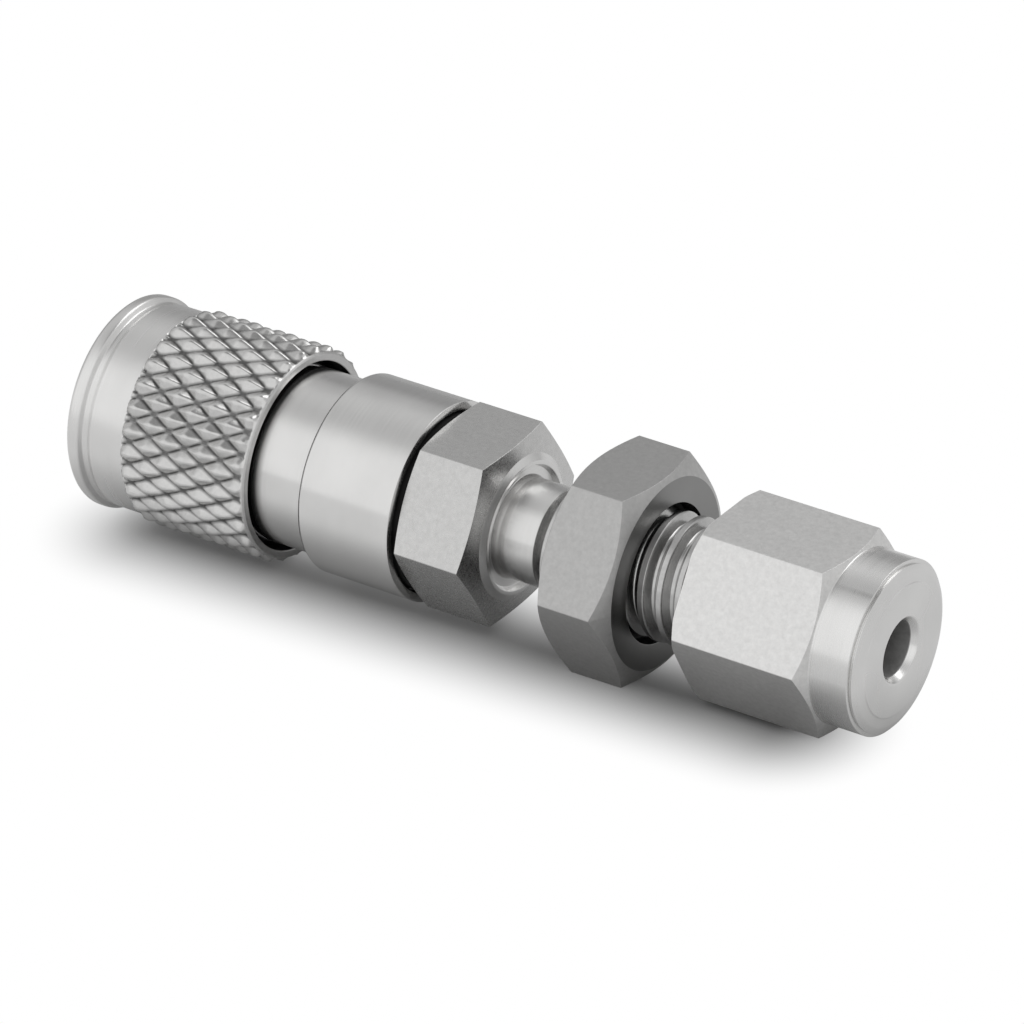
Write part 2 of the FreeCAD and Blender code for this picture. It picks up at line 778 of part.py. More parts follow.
def make_back_ferrule():
    """Ring whose nose enters the front ferrule's countersink."""
    body = new_body("back_ferrule")
    revolve(
        body,
        [
            ("back_start", "tube_bore"),
            ("back_start", "tube_bore + back_ferrule_nose"),
            ("back_face", "tube_bore + back_ferrule_nose + back_face - back_start"),
            ("back_face", "ferrule_radius"),
            ("back_end - back_ferrule_chamfer", "ferrule_radius"),
            ("back_end", "ferrule_radius - back_ferrule_chamfer"),
            ("back_end", "tube_bore"),
        ],
    )
    return body


def make_sleeve_spring():
    """Spring between the sleeve's land and the step behind the barrel."""
    return make_coil(
        "sleeve_spring",
        start="land_end",
        end="barrel_length",
        radius="sleeve_spring_radius",
        wire="sleeve_wire",
        turns="sleeve_spring_turns",
    )


def make_poppet_spring():
    """Spring between the poppet's head and its guide."""
    return make_coil(
        "poppet_spring",
        start="head_end",
        end="chamber_end",
        radius="poppet_spring_radius",
        wire="poppet_wire",
        turns="poppet_spring_turns",
    )


def make_stem_seal():
    """Ring in the socket's groove, which seals on the stem."""
    return make_ring(
        "stem_seal",
        place="stem_seal_place + seal_section_radius",
        radius="stem_groove_radius - seal_clearance - seal_section_radius",
        section_radius="seal_section_radius",
    )


def make_body_seal():
    """Ring in the gap between the two bodies."""
    return make_ring(
        "body_seal",
        place="(hex_start + body_seal_floor) / 2",
        radius="(spigot_radius + body_seal_recess) / 2",
        section_radius="body_seal_radius",
    )


def make_parts():
    return [
        make_front_body(),
        make_locking_sleeve(),
        make_retaining_ring(),
        *make_balls(),
        make_sleeve_spring(),
        make_stem_seal(),
        make_backup_ring(),
        make_poppet(),
        make_poppet_seal(),
        make_poppet_spring(),
        make_poppet_guide(),
        make_body_seal(),
        make_bulkhead_body(),
        make_jam_nut(),
        make_front_ferrule(),
        make_back_ferrule(),
        make_tube_nut(),
    ]


def check_and_write(parts):
    """Refuse a failed object or a bad shape before any file is written."""
    doc.recompute()
    for item in doc.Objects:
        if {"Invalid", "Error"} & set(item.State):
            raise RuntimeError(f"{item.Label} failed: {item.State}")
    for item in parts:
        shape = item.Shape
        if shape.isNull() or not shape.isValid() or len(shape.Solids) != 1:
            raise RuntimeError(f"{item.Label} isn't one valid solid")
    os.makedirs("parts", exist_ok=True)
    for item in parts:
        item.Shape.exportStep(f"parts/{item.Label}.step")
        print(f"{item.Label}: {item.Shape.Volume:.3f} mm3")


doc = FreeCAD.newDocument("quick_connect_coupling")
make_sheet()
check_and_write(make_parts())
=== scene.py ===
import math

import bmesh
import bpy
import numpy as np
from mathutils import Matrix, Vector


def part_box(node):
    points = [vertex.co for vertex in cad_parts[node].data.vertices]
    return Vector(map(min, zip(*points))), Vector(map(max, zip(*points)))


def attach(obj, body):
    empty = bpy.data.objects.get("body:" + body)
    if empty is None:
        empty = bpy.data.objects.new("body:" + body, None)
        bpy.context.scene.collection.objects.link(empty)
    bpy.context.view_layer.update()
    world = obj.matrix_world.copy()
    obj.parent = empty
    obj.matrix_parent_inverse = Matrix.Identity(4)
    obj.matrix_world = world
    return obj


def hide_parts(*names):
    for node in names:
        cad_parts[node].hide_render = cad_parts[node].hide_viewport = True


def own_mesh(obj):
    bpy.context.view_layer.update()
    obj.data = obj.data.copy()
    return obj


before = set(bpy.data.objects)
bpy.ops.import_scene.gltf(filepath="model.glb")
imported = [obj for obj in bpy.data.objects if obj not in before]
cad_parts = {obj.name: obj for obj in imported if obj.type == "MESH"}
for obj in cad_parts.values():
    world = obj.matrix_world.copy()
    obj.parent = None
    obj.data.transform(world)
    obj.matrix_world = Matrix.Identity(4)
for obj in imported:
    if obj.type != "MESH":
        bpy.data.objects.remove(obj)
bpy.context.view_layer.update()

# The visual model of a small quick connect coupling. Sizes are in millimetres and angles in
# degrees until a mesh is made. The axis is X, and an angle round it runs from +Z towards -Y.
MM = 0.001
ARC_STEPS = 4
ROUND_STEPS = 192
MERGE = 1e-7
MOST_OF_SIDE = 0.45
SHARP_ANGLE = 32


def span(node):
    """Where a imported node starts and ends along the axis."""
    low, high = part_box(node)
    return low.x / MM, high.x / MM


def reach(node):
    """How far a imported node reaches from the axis."""
    low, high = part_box(node)
    return max(high.z, -low.z) / MM


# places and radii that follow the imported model
SLEEVE_START, SLEEVE_END = span("locking_sleeve")
SLEEVE_RADIUS = reach("locking_sleeve")
MOUTH, WIDE_END = span("front_body")
WIDE_RADIUS = reach("front_body")
SPIGOT_START, SHANK_END = span("bulkhead_body")
JAM_START, JAM_END = span("jam_nut")
JAM_FLATS = 2 * reach("jam_nut")
NUT_START, NUT_END = span("tube_nut")
NUT_FLATS = 2 * reach("tube_nut")
GUIDE_START = span("poppet_guide")[0]
SEAL_START = span("body_seal")[0]

# front body
BARREL_RADIUS = 4.72
BARREL_END = 12.0
NARROW_RADIUS = WIDE_RADIUS - 0.75
WIDE_START = 16.29
NARROW_VISIBLE = 12.35
WIDE_CHAMFER = 0.12
MOUTH_CHAMFER = 0.2
STEM_BORE = 3.5
STEM_BORE_END = 3.5
PROBE_BORE = 3.2
MOUTH_LEAD = 0.4
RING_GROOVE = (0.9, 1.7)
RING_GROOVE_RADIUS = 4.2
SEAL_GROOVE = (8.17, 10.04)
SEAL_GROOVE_RADIUS = 4.05
SEAT = (12.5, 13.3)
SEAT_RADIUS = 2.4
CHAMBER_RADIUS = 4.0
JOINT_BORE = 4.9
SEAL_RECESS = 5.75
SEAL_FLOOR = 22.25
BALLS = 6
BALL_PLACE = 5.0
BALL_HOLE = 1.04
BALL_PITCH = 3.75
HOLE_DEPTH = 2.4
HOLE_STEPS = 48

# locking sleeve
RING_RECESS = 5.65
SLEEVE_STOP = 1.7
CAM_RADIUS = 5.34
CAM_END = 5.085
LAND_RADIUS = 4.78
LAND_END = 6.5
SLEEVE_BORE = 6.0
LIP_RADIUS = 6.78
LIP_END = 0.2
LIP_GROOVE_RADIUS = 6.42
LIP_GROOVE_END = 1.0
LIP_CHAMFER = 0.25
LIP_FALL = 0.2
BAND_RADIUS = 6.5
KNURL_START = 3.35
KNURL_END = SLEEVE_END - 0.12
RIM_RADIUS = 6.42

# diamond knurl: rolled grooves at 30 degrees to the axis, both ways
KNURL_COUNT = 28
KNURL_SLOPE = math.tan(math.radians(30))
KNURL_STEPS = 16
KNURL_VALLEY = 6.41
KNURL_ROUND = 0.4
KNURL_POWER = 5
KNURL_TIP_PLACE = 10.56
KNURL_TIP_ANGLE = 53.3
KNURL_RUN_OUT = 0.22
KNURL_SHOULDER = RIM_RADIUS + 0.12
KNURL_RISE = SLEEVE_RADIUS - BAND_RADIUS + 0.1
KNURL_SHARP_ANGLE = 62
BAND_ROWS = (0.05, 0.02)
ROW_GAP = 0.01

# bulkhead body
COUNTERBORE = 3.4
COUNTERBORE_END = 22.4
FLOW_START = 23.7
FLOW_RADIUS = 1.2
HEX_START = 23.12
HEX_END = 28.30
HEX_FLATS = 11.11
HEX_TURN = 3.5
HEX_LEAD = 0.3
HEX_BEVEL = 0.42
HEX_INNER = 5.5
RING_RADIUS = 5.62
RING_GAP = 0.01
SPIGOT_RADIUS = 4.85
RING_BORE = SPIGOT_RADIUS + 0.03
BOSS_RADIUS = 4.6
BOSS_FACE = 4.2
BOSS_INNER = 3.95
BOSS_GROOVE = 0.4
BOSS_END = 28.59
NECK_RADIUS = 3.15
NECK_END = 31.17
THREAD_START = 32.19
THREAD_RADIUS = 3.97
THREAD_ROOT = 3.36
THREAD_PITCH = 1.27
THREAD_CREST = 40.181
THREAD_LEAD = 0.1
THREAD_FADE = 33.2
FADE_RATE = 2
TUBE_BORE = 1.63
SOCKET_FLOOR = 44.5
CONE_START = 47.1
MOUTH_CONE = 2.75
SHANK_CHAMFER = 0.5

# nuts
NUT_BORE = 4.02
BORE_CHAMFER = 0.35
JAM_RECESS = 4.37
JAM_RECESS_DEPTH = 1.1
JAM_RECESS_CONE = 0.2
JAM_FACE = 6.0
JAM_LEAD = 0.77
NUT_FACE = 5.9
NUT_LEAD = 0.3
NUT_BEVEL = 0.52
COLLAR_START = 51.70
COLLAR_RADIUS = 5.4
COLLAR_END = 54.32
COLLAR_STEP = 0.2
STEP_DEPTH = 0.3
STEP_HALF = 0.04
STEP_END = 0.1
NOSE_FACE = 4.1
NOSE_MIDDLE = (COLLAR_END + NUT_END) / 2 + 0.09
TUBE_HOLE = 1.75
TUBE_HOLE_EDGE = 2.06
TUBE_HOLE_LEAD = 0.48
NOSE_GROOVE = 0.06
FERRULE_BORE = 2.75
FERRULE_STOP = 50.4
FERRULE_END = 51.97

# springs
COIL_STEPS = 48
WIRE_STEPS = 12
CLOSED_RISE = 1.02

# hexagons and edges
HEX_SIDES = 6
HALF_SIDE = 30.0
FLAT_STEPS = 24
FLAT_TILT = 0.15
FLAT_MARGIN = 0.06
EDGE_STEPS = 8
HEX_EDGE = 0.1
SHOULDER_EDGE = 0.02
SMALL_EDGE = 0.06
SEAL_STEPS = 180
HEXAGONS = ("bulkhead_body_threaded", "jam_nut_rounded", "tube_nut_collared")


def off_axis(spot):
    """How far a point is from the axis, in the point's own unit."""
    return math.hypot(spot.y, spot.z)


def rounded(corners):
    """Turn (place, radius, rounding) corners of a closed outline into points with arcs."""
    points = []
    count = len(corners)
    for number, (x, r, rounding) in enumerate(corners):
        if rounding == 0:
            points.append((x, r))
            continue
        before = np.array(corners[number - 1][:2]) - (x, r)
        after = np.array(corners[(number + 1) % count][:2]) - (x, r)
        one, two = np.linalg.norm(before), np.linalg.norm(after)
        before, after = before / one, after / two
        half = math.acos(max(-1.0, min(1.0, before @ after))) / 2
        step = min(rounding / math.tan(half), MOST_OF_SIDE * one, MOST_OF_SIDE * two)
        radius = step * math.tan(half)
        middle = (before + after) / np.linalg.norm(before + after)
        centre = np.array((x, r)) + middle * radius / math.sin(half)
        first = np.array((x, r)) + before * step - centre
        last = np.array((x, r)) + after * step - centre
        start = math.atan2(first[1], first[0])
        turn = (math.atan2(last[1], last[0]) - start + math.pi) % (2 * math.pi) - math.pi
        for arc in range(ARC_STEPS + 1):
            angle = start + turn * arc / ARC_STEPS
            points.append(tuple(centre + radius * np.array((math.cos(angle), math.sin(angle)))))
    return points


def place(x, r, angle):
    """A point in metres from its place along the axis, its radius and its angle."""
    around = math.radians(angle)
    return (x * MM, -r * math.sin(around) * MM, r * math.cos(around) * MM)


def skin(name, grid, diagonal=None, twist=None):
    """Close a grid of points, rows along an outline and columns round the axis, into a solid mesh."""
    rows, columns = grid.shape[:2]

    def index(row, column):
        row %= rows
        if column < columns:
            return row * columns + column
        if twist and twist[0] <= row <= twist[1]:
            return min(row + twist[2], twist[1]) * columns
        return row * columns

    faces = []
    for row in range(rows):
        for column in range(columns):
            a, b = index(row, column), index(row + 1, column)
            c, d = index(row + 1, column + 1), index(row, column + 1)
            way = diagonal(row, column) if diagonal else None
            if way is None:
                faces.append((a, b, c, d))
            elif way:
                faces.extend(((a, b, c), (a, c, d)))
            else:
                faces.extend(((a, b, d), (b, c, d)))
    mesh = bpy.data.meshes.new(name)
    mesh.from_pydata(grid.reshape(-1, 3).tolist(), [], faces)
    return tidy_mesh(name, mesh)


def tidy_mesh(name, mesh):
    """Merge doubled points, face the mesh outwards and add it to the scene."""
    work = bmesh.new()
    work.from_mesh(mesh)
    bmesh.ops.remove_doubles(work, verts=work.verts, dist=MERGE)
    bmesh.ops.dissolve_degenerate(work, edges=work.edges, dist=MERGE)
    bmesh.ops.recalc_face_normals(work, faces=work.faces)
    work.to_mesh(mesh)
    work.free()
    made = bpy.data.objects.new(name, mesh)
    bpy.context.scene.collection.objects.link(made)
    return made


def smooth(made, sharp=SHARP_ANGLE):
    """Shade a mesh smoothly across its roundings and keep a hexagon's flats flat."""
    made.data.shade_smooth()
    made.data.set_sharp_from_angle(angle=math.radians(sharp))
    for face in made.data.polygons:
        face.use_smooth = not (made.name in HEXAGONS and on_a_flat(face.center / MM, face.normal))
    normals = made.modifiers.new("Normals", "WEIGHTED_NORMAL")
    normals.keep_sharp = True


def on_a_flat(centre, normal):
    """Whether a face lies on one of a hexagon's flats."""
    return abs(normal.x) < FLAT_TILT and off_axis(centre) > HEX_FLATS / 2 - FLAT_MARGIN


def even_angles(count):
    return [360 * number / count for number in range(count)]


def hex_angles(flats, turn):
    """Angles round a hexagon, closer together at its corners."""
    half = math.tan(math.radians(HALF_SIDE))
    flat_end = math.degrees(math.atan((flats / 2 - HEX_EDGE) / (flats / 2) * half))
    angles = []
    for side in range(HEX_SIDES):
        middle = turn + 2 * HALF_SIDE * side
        angles.extend(middle + flat_end * (2 * step / FLAT_STEPS - 1) for step in range(FLAT_STEPS + 1))
        rest = 2 * (HALF_SIDE - flat_end)
        angles.extend(middle + flat_end + rest * step / EDGE_STEPS for step in range(1, EDGE_STEPS))
    return angles


def hex_radius(angle, flats, turn):
    """Distance from the axis to the side of a hexagon with rounded corners."""
    apothem = flats / 2
    off = abs((angle - turn + HALF_SIDE) % (2 * HALF_SIDE) - HALF_SIDE)
    half = math.radians(HALF_SIDE)
    if apothem * math.tan(math.radians(off)) <= (apothem - HEX_EDGE) * math.tan(half):
        return apothem / math.cos(math.radians(off))
    corner = (apothem - HEX_EDGE) / math.cos(half)
    side = half - math.radians(off)
    return corner * math.cos(side) + math.sqrt(max(0, HEX_EDGE**2 - (corner * math.sin(side)) ** 2))


def shoulder(side_radius, face_place, face_radius, lead, flats, inwards):
    """Rounded points from a nut's end face over its chamfer to its side, at one angle.

    inwards is +1 where the nut lies at the right of the face and -1 where it lies at the left.
    """
    corner = flats / 2 / math.cos(math.radians(HALF_SIDE))
    rise = corner - face_radius
    length = math.hypot(rise, lead)
    cone = np.array((-rise, lead)) / length
    edge = SHOULDER_EDGE
    first = np.array((edge, face_radius - edge * (1 + cone[0]) / cone[1]))
    height = side_radius - edge
    second = np.array(((-edge - cone[1] * (height - face_radius)) / cone[0], height))
    if side_radius < face_radius:
        return [(face_place, side_radius, 0)] * (2 * ARC_STEPS + 2)
    if second[0] < edge:
        first = second = np.array((edge, height))
    slope = math.atan2(cone[1], cone[0])
    points = []
    for centre, start, end in ((first, math.pi, slope), (second, slope, math.pi / 2)):
        for step in range(ARC_STEPS + 1):
            angle = start + (end - start) * step / ARC_STEPS
            x = centre[0] + edge * math.cos(angle)
            points.append((face_place + inwards * x, centre[1] + edge * math.sin(angle), 0))
    return points


def lathe(name, outline, angles, **extra):
    """Sweep an outline round the axis. The outline is a function of the angle."""
    columns = [np.array([place(x, r, angle) for x, r in rounded(outline(angle))]) for angle in angles]
    return skin(name, np.stack(columns, axis=1), **extra)


def make_front_body():
    """Socket with its ball holes, grooves, valve seat and chamber, turned in one piece."""
    corners = [
        (MOUTH, STEM_BORE + MOUTH_LEAD, SMALL_EDGE),
        (MOUTH, BARREL_RADIUS - MOUTH_CHAMFER, SMALL_EDGE),
        (MOUTH + MOUTH_CHAMFER, BARREL_RADIUS, SMALL_EDGE),
        (RING_GROOVE[0], BARREL_RADIUS, 0.04),
        (RING_GROOVE[0], RING_GROOVE_RADIUS, 0.04),
        (RING_GROOVE[1], RING_GROOVE_RADIUS, 0.04),
        (RING_GROOVE[1], BARREL_RADIUS, 0.04),
        (BARREL_END, BARREL_RADIUS, 0.1),
        (BARREL_END, NARROW_RADIUS, 0.12),
        (NARROW_VISIBLE, NARROW_RADIUS, 0),
        (WIDE_START, NARROW_RADIUS, 0.05),
        (WIDE_START, WIDE_RADIUS - WIDE_CHAMFER, 0.05),
        (WIDE_START + 1.5 * WIDE_CHAMFER, WIDE_RADIUS, 0.2),
        (WIDE_END, WIDE_RADIUS, 0.03),
        (WIDE_END, SEAL_RECESS, 0.05),
        (SEAL_FLOOR, SEAL_RECESS, 0.1),
        (SEAL_FLOOR, JOINT_BORE, 0.05),
        (GUIDE_START, JOINT_BORE, 0.05),
        (GUIDE_START, CHAMBER_RADIUS, 0.05),
        (SEAT[1], CHAMBER_RADIUS, 0.2),
        (SEAT[1], SEAT_RADIUS, 0.08),
        (SEAT[0], SEAT_RADIUS, 0.08),
        (SEAT[0], PROBE_BORE, 0.1),
        (SEAL_GROOVE[1], PROBE_BORE, 0.04),
        (SEAL_GROOVE[1], SEAL_GROOVE_RADIUS, 0.05),
        (SEAL_GROOVE[0], SEAL_GROOVE_RADIUS, 0.05),
        (SEAL_GROOVE[0], PROBE_BORE, 0.04),
        (STEM_BORE_END + STEM_BORE - PROBE_BORE, PROBE_BORE, 0.1),
        (STEM_BORE_END, STEM_BORE, 0.1),
        (0, STEM_BORE, 0.1),
    ]
    body = lathe("front_body_turned", lambda angle: corners, even_angles(ROUND_STEPS))
    drill_ball_holes(body)
    return body


def drill_ball_holes(body):
    """Cut the round-ended holes of the locking balls through the barrel."""
    work = bmesh.new()
    for number in range(BALLS):
        angle = 360 * number / BALLS
        turn = Matrix.Rotation(math.radians(angle), 4, "X")
        ball = Matrix.Translation((BALL_PLACE * MM, 0, BALL_PITCH * MM))
        bmesh.ops.create_uvsphere(
            work, u_segments=HOLE_STEPS, v_segments=HOLE_STEPS // 2, radius=BALL_HOLE * MM,
            matrix=turn @ ball,
        )
        shaft = Matrix.Translation((BALL_PLACE * MM, 0, (BALL_PITCH + HOLE_DEPTH / 2) * MM))
        bmesh.ops.create_cone(
            work, cap_ends=True, segments=HOLE_STEPS, radius1=BALL_HOLE * MM, radius2=BALL_HOLE * MM,
            depth=HOLE_DEPTH * MM, matrix=turn @ shaft,
        )
    mesh = bpy.data.meshes.new("ball_holes")
    work.to_mesh(mesh)
    work.free()
    cutter = bpy.data.objects.new("ball_holes", mesh)
    bpy.context.scene.collection.objects.link(cutter)
    cut = body.modifiers.new("Holes", "BOOLEAN")
    cut.object = cutter
    cut.operation = "DIFFERENCE"
    cut.solver = "EXACT"
    cut.use_self = True
    keep_result(body)
    bpy.data.objects.remove(cutter)


def keep_result(made):
    """Replace an object's mesh by the result of its modifiers."""
    bpy.context.view_layer.update()
    seen = made.evaluated_get(bpy.context.evaluated_depsgraph_get())
    mesh = bpy.data.meshes.new_from_object(seen)
    made.modifiers.clear()
    made.data = mesh


def knurl_shape(x, angle):
    """How high a point stands on its diamond, from 0 to 1, and whether the first grooves are nearer."""
    pitch = 2 * math.pi * SLEEVE_RADIUS / KNURL_COUNT
    around = (angle - KNURL_TIP_ANGLE) * KNURL_COUNT / 360
    along = (x - KNURL_TIP_PLACE) * KNURL_SLOPE / pitch
    left = 2 * abs(around + along - round(around + along))
    right = 2 * abs(around - along - round(around - along))
    away = (left**KNURL_POWER + right**KNURL_POWER) ** (1 / KNURL_POWER)
    return max(0.0, 1 - away), left > right


def knurl_radius(x, angle):
    """Radius of the knurled stretch, whose grooves run out at both ends."""
    height = knurl_shape(x, angle)[0]
    over = max(0.0, height - 1 + KNURL_ROUND)
    standing = (height - over**2 / (2 * KNURL_ROUND)) / (1 - KNURL_ROUND / 2)
    radius = KNURL_VALLEY + (SLEEVE_RADIUS - KNURL_VALLEY) * standing
    from_end = (KNURL_END - x) / KNURL_RUN_OUT
    if from_end < 1:
        radius = KNURL_SHOULDER + (radius - KNURL_SHOULDER) * max(0, from_end)
    from_start = (x - KNURL_START) / KNURL_RUN_OUT
    return min(radius, BAND_RADIUS + KNURL_RISE * from_start)


def knurl_places():
    """Places along the axis that line up with the diamonds."""
    pitch = 2 * math.pi * SLEEVE_RADIUS / KNURL_COUNT / KNURL_SLOPE
    step = pitch / KNURL_STEPS
    first = math.ceil((KNURL_START - KNURL_TIP_PLACE) / step)
    last = math.floor((KNURL_END - KNURL_TIP_PLACE) / step)
    inner = [KNURL_TIP_PLACE + step * number for number in range(first, last + 1)]
    ends = [KNURL_START, KNURL_START + KNURL_RUN_OUT, KNURL_END - KNURL_RUN_OUT, KNURL_END]
    places = sorted(inner + ends)
    return [x for x, after in zip(places, places[1:] + [math.inf]) if after - x > ROW_GAP]


def make_locking_sleeve():
    """Knurled sleeve with a lip, a groove and a smooth band."""
    places = knurl_places()
    rim = [
        (KNURL_END + 0.03, RIM_RADIUS + 0.1, 0.03),
        (SLEEVE_END, RIM_RADIUS, 0.05),
    ]
    inner = [
        (SLEEVE_END, SLEEVE_BORE, 0.08),
        (LAND_END, SLEEVE_BORE, 0.15),
        (LAND_END, LAND_RADIUS, 0.1),
        (CAM_END, LAND_RADIUS, 0.1),
        (SLEEVE_STOP, CAM_RADIUS, 0.05),
        (SLEEVE_STOP, RING_RECESS, 0.1),
        (SLEEVE_START, RING_RECESS, 0.1),
        (SLEEVE_START, LIP_RADIUS - LIP_CHAMFER, 0.12),
        (SLEEVE_START + LIP_CHAMFER, LIP_RADIUS, 0.3),
        (LIP_END, LIP_RADIUS, 0.2),
        (LIP_END + LIP_FALL, LIP_GROOVE_RADIUS, 0.15),
        (LIP_GROOVE_END - LIP_CHAMFER, LIP_GROOVE_RADIUS, 0.3),
        (LIP_GROOVE_END, BAND_RADIUS, 0.3),
        *((KNURL_START - before, BAND_RADIUS, 0) for before in BAND_ROWS),
    ]
    turn = 360 / (KNURL_COUNT * KNURL_STEPS)
    angles = [KNURL_TIP_ANGLE + turn * number for number in range(KNURL_COUNT * KNURL_STEPS)]

    def outline(angle):
        return [(x, knurl_radius(x, angle), 0) for x in places] + rim + inner

    def diagonal(row, column):
        if row >= len(places) - 1:
            return None
        x = (places[row] + places[row + 1]) / 2
        return not knurl_shape(x, angles[column] + turn / 2)[1]

    made = lathe("locking_sleeve_knurled", outline, angles, diagonal=diagonal)
    # How high each point stands on its diamond, from which the knurl material paints shade into the
    # grooves.
    standing = made.data.attributes.new("standing", "FLOAT", "POINT")
    for point, mark in zip(made.data.vertices, standing.data):
        radius = off_axis(point.co) / MM
        knurled_here = KNURL_START < point.co.x / MM < KNURL_END and radius > KNURL_VALLEY - 0.05
        mark.value = (radius - KNURL_VALLEY) / (SLEEVE_RADIUS - KNURL_VALLEY) if knurled_here else 1.0
    return made


# one turn of the thread: (share of the pitch, share of the depth)
THREAD_FORM = [
    (0.0, 0.0),
    (0.12, 0.0),
    (0.155, 0.06),
    (0.19, 0.2),
    (0.34, 0.8),
    (0.375, 0.94),
    (0.43, 1.0),
    (0.57, 1.0),
    (0.625, 0.94),
    (0.66, 0.8),
    (0.81, 0.2),
    (0.845, 0.06),
    (0.88, 0.0),
]


def thread_depth(turns):
    """Share of the thread's depth at a number of turns along it."""
    part = turns % 1
    shares, depths = zip(*THREAD_FORM, (1.0, 0.0))
    return float(np.interp(part, shares, depths))


def shank_limit(x):
    """Radius of the shank before its thread is cut."""
    return min(THREAD_RADIUS, THREAD_RADIUS - SHANK_CHAMFER + SHANK_END - x)


def thread_rows():
    """Places of the thread's rows at angle 0, one turn too many so that the helix can run out."""
    rows = []
    first = THREAD_CREST % THREAD_PITCH
    turn = math.floor(NECK_END / THREAD_PITCH) - 2
    while (turn - 1) * THREAD_PITCH < SHANK_END:
        rows.extend(first + (turn + share) * THREAD_PITCH for share, _ in THREAD_FORM)
        turn += 1
    return [x for x in rows if NECK_END - THREAD_PITCH <= x <= SHANK_END + 0.2 * THREAD_PITCH]


def make_bulkhead_body():
    """Spigot, hexagon, boss, neck and threaded shank in one piece."""
    rows = thread_rows()
    before = [
        (SPIGOT_START, COUNTERBORE, 0.05),
        (SPIGOT_START, SPIGOT_RADIUS, 0.05),
        (HEX_START, SPIGOT_RADIUS, 0.05),
    ]
    boss = [
        (HEX_END, BOSS_RADIUS, 0.08),
        (BOSS_END, BOSS_FACE, 0.05),
        (BOSS_END, BOSS_INNER, 0.05),
        (BOSS_END - BOSS_GROOVE, BOSS_INNER - 0.15, 0.05),
        (BOSS_END - BOSS_GROOVE, NECK_RADIUS + 0.1, 0.05),
        (BOSS_END + 0.1, NECK_RADIUS, 0.15),
        (NECK_END, NECK_RADIUS, 0.15),
        (THREAD_START, THREAD_RADIUS, 0.08),
    ]
    after = [
        (SHANK_END, MOUTH_CONE, 0.05),
        (CONE_START, TUBE_BORE, 0.1),
        (SOCKET_FLOOR, TUBE_BORE, 0.05),
        (SOCKET_FLOOR, FLOW_RADIUS, 0.05),
        (FLOW_START, FLOW_RADIUS, 0.1),
        (COUNTERBORE_END, COUNTERBORE, 0.1),
    ]

    def outline(angle):
        side = hex_radius(angle, HEX_FLATS, HEX_TURN)
        left = shoulder(side, HEX_START, HEX_INNER, HEX_LEAD, HEX_FLATS, 1)
        right = shoulder(side, HEX_END, BOSS_RADIUS, HEX_BEVEL, HEX_FLATS, -1)
        shank = []
        for row in rows:
            x = min(max(row + THREAD_PITCH * angle / 360, THREAD_START + THREAD_LEAD), SHANK_END)
            turns = (x - THREAD_CREST) / THREAD_PITCH - angle / 360
            fade = min(1, max(0, FADE_RATE * (x - THREAD_FADE)))
            depth = (THREAD_RADIUS - THREAD_ROOT) * thread_depth(turns) * fade
            shank.append((x, min(shank_limit(x), THREAD_RADIUS - depth), 0))
        return before + left + right[: ARC_STEPS : -1] + boss + shank + after

    angles = hex_angles(HEX_FLATS, HEX_TURN)
    shoulder_arcs = 3
    count = (len(before) + shoulder_arcs + len(boss)) * (ARC_STEPS + 1)
    twist = (count, count + len(rows) - 1, len(THREAD_FORM))
    return lathe("bulkhead_body_threaded", outline, angles, twist=twist)


def make_body_seal():
    """Square ring that fills the gap between the two bodies."""
    corners = [
        (SEAL_START, RING_BORE, 0.05),
        (SEAL_START, RING_RADIUS, 0.05),
        (HEX_START - RING_GAP, RING_RADIUS, 0.05),
        (HEX_START - RING_GAP, RING_BORE, 0.05),
    ]
    return lathe("body_seal_square", lambda angle: corners, even_angles(SEAL_STEPS))


def make_jam_nut():
    """Panel nut, chamfered at both ends."""
    bore = [
        (JAM_END, JAM_RECESS, 0.05),
        (JAM_END - JAM_RECESS_DEPTH, JAM_RECESS, 0.05),
        (JAM_END - JAM_RECESS_DEPTH - JAM_RECESS_CONE, NUT_BORE, 0.05),
        (JAM_START + BORE_CHAMFER, NUT_BORE, 0.05),
        (JAM_START, NUT_BORE + BORE_CHAMFER, 0.05),
    ]

    def outline(angle):
        side = hex_radius(angle, JAM_FLATS, 0)
        left = shoulder(side, JAM_START, JAM_FACE, JAM_LEAD, JAM_FLATS, 1)
        right = shoulder(side, JAM_END, JAM_FACE, JAM_LEAD, JAM_FLATS, -1)
        return left + right[::-1] + bore

    return lathe("jam_nut_rounded", outline, hex_angles(JAM_FLATS, 0))


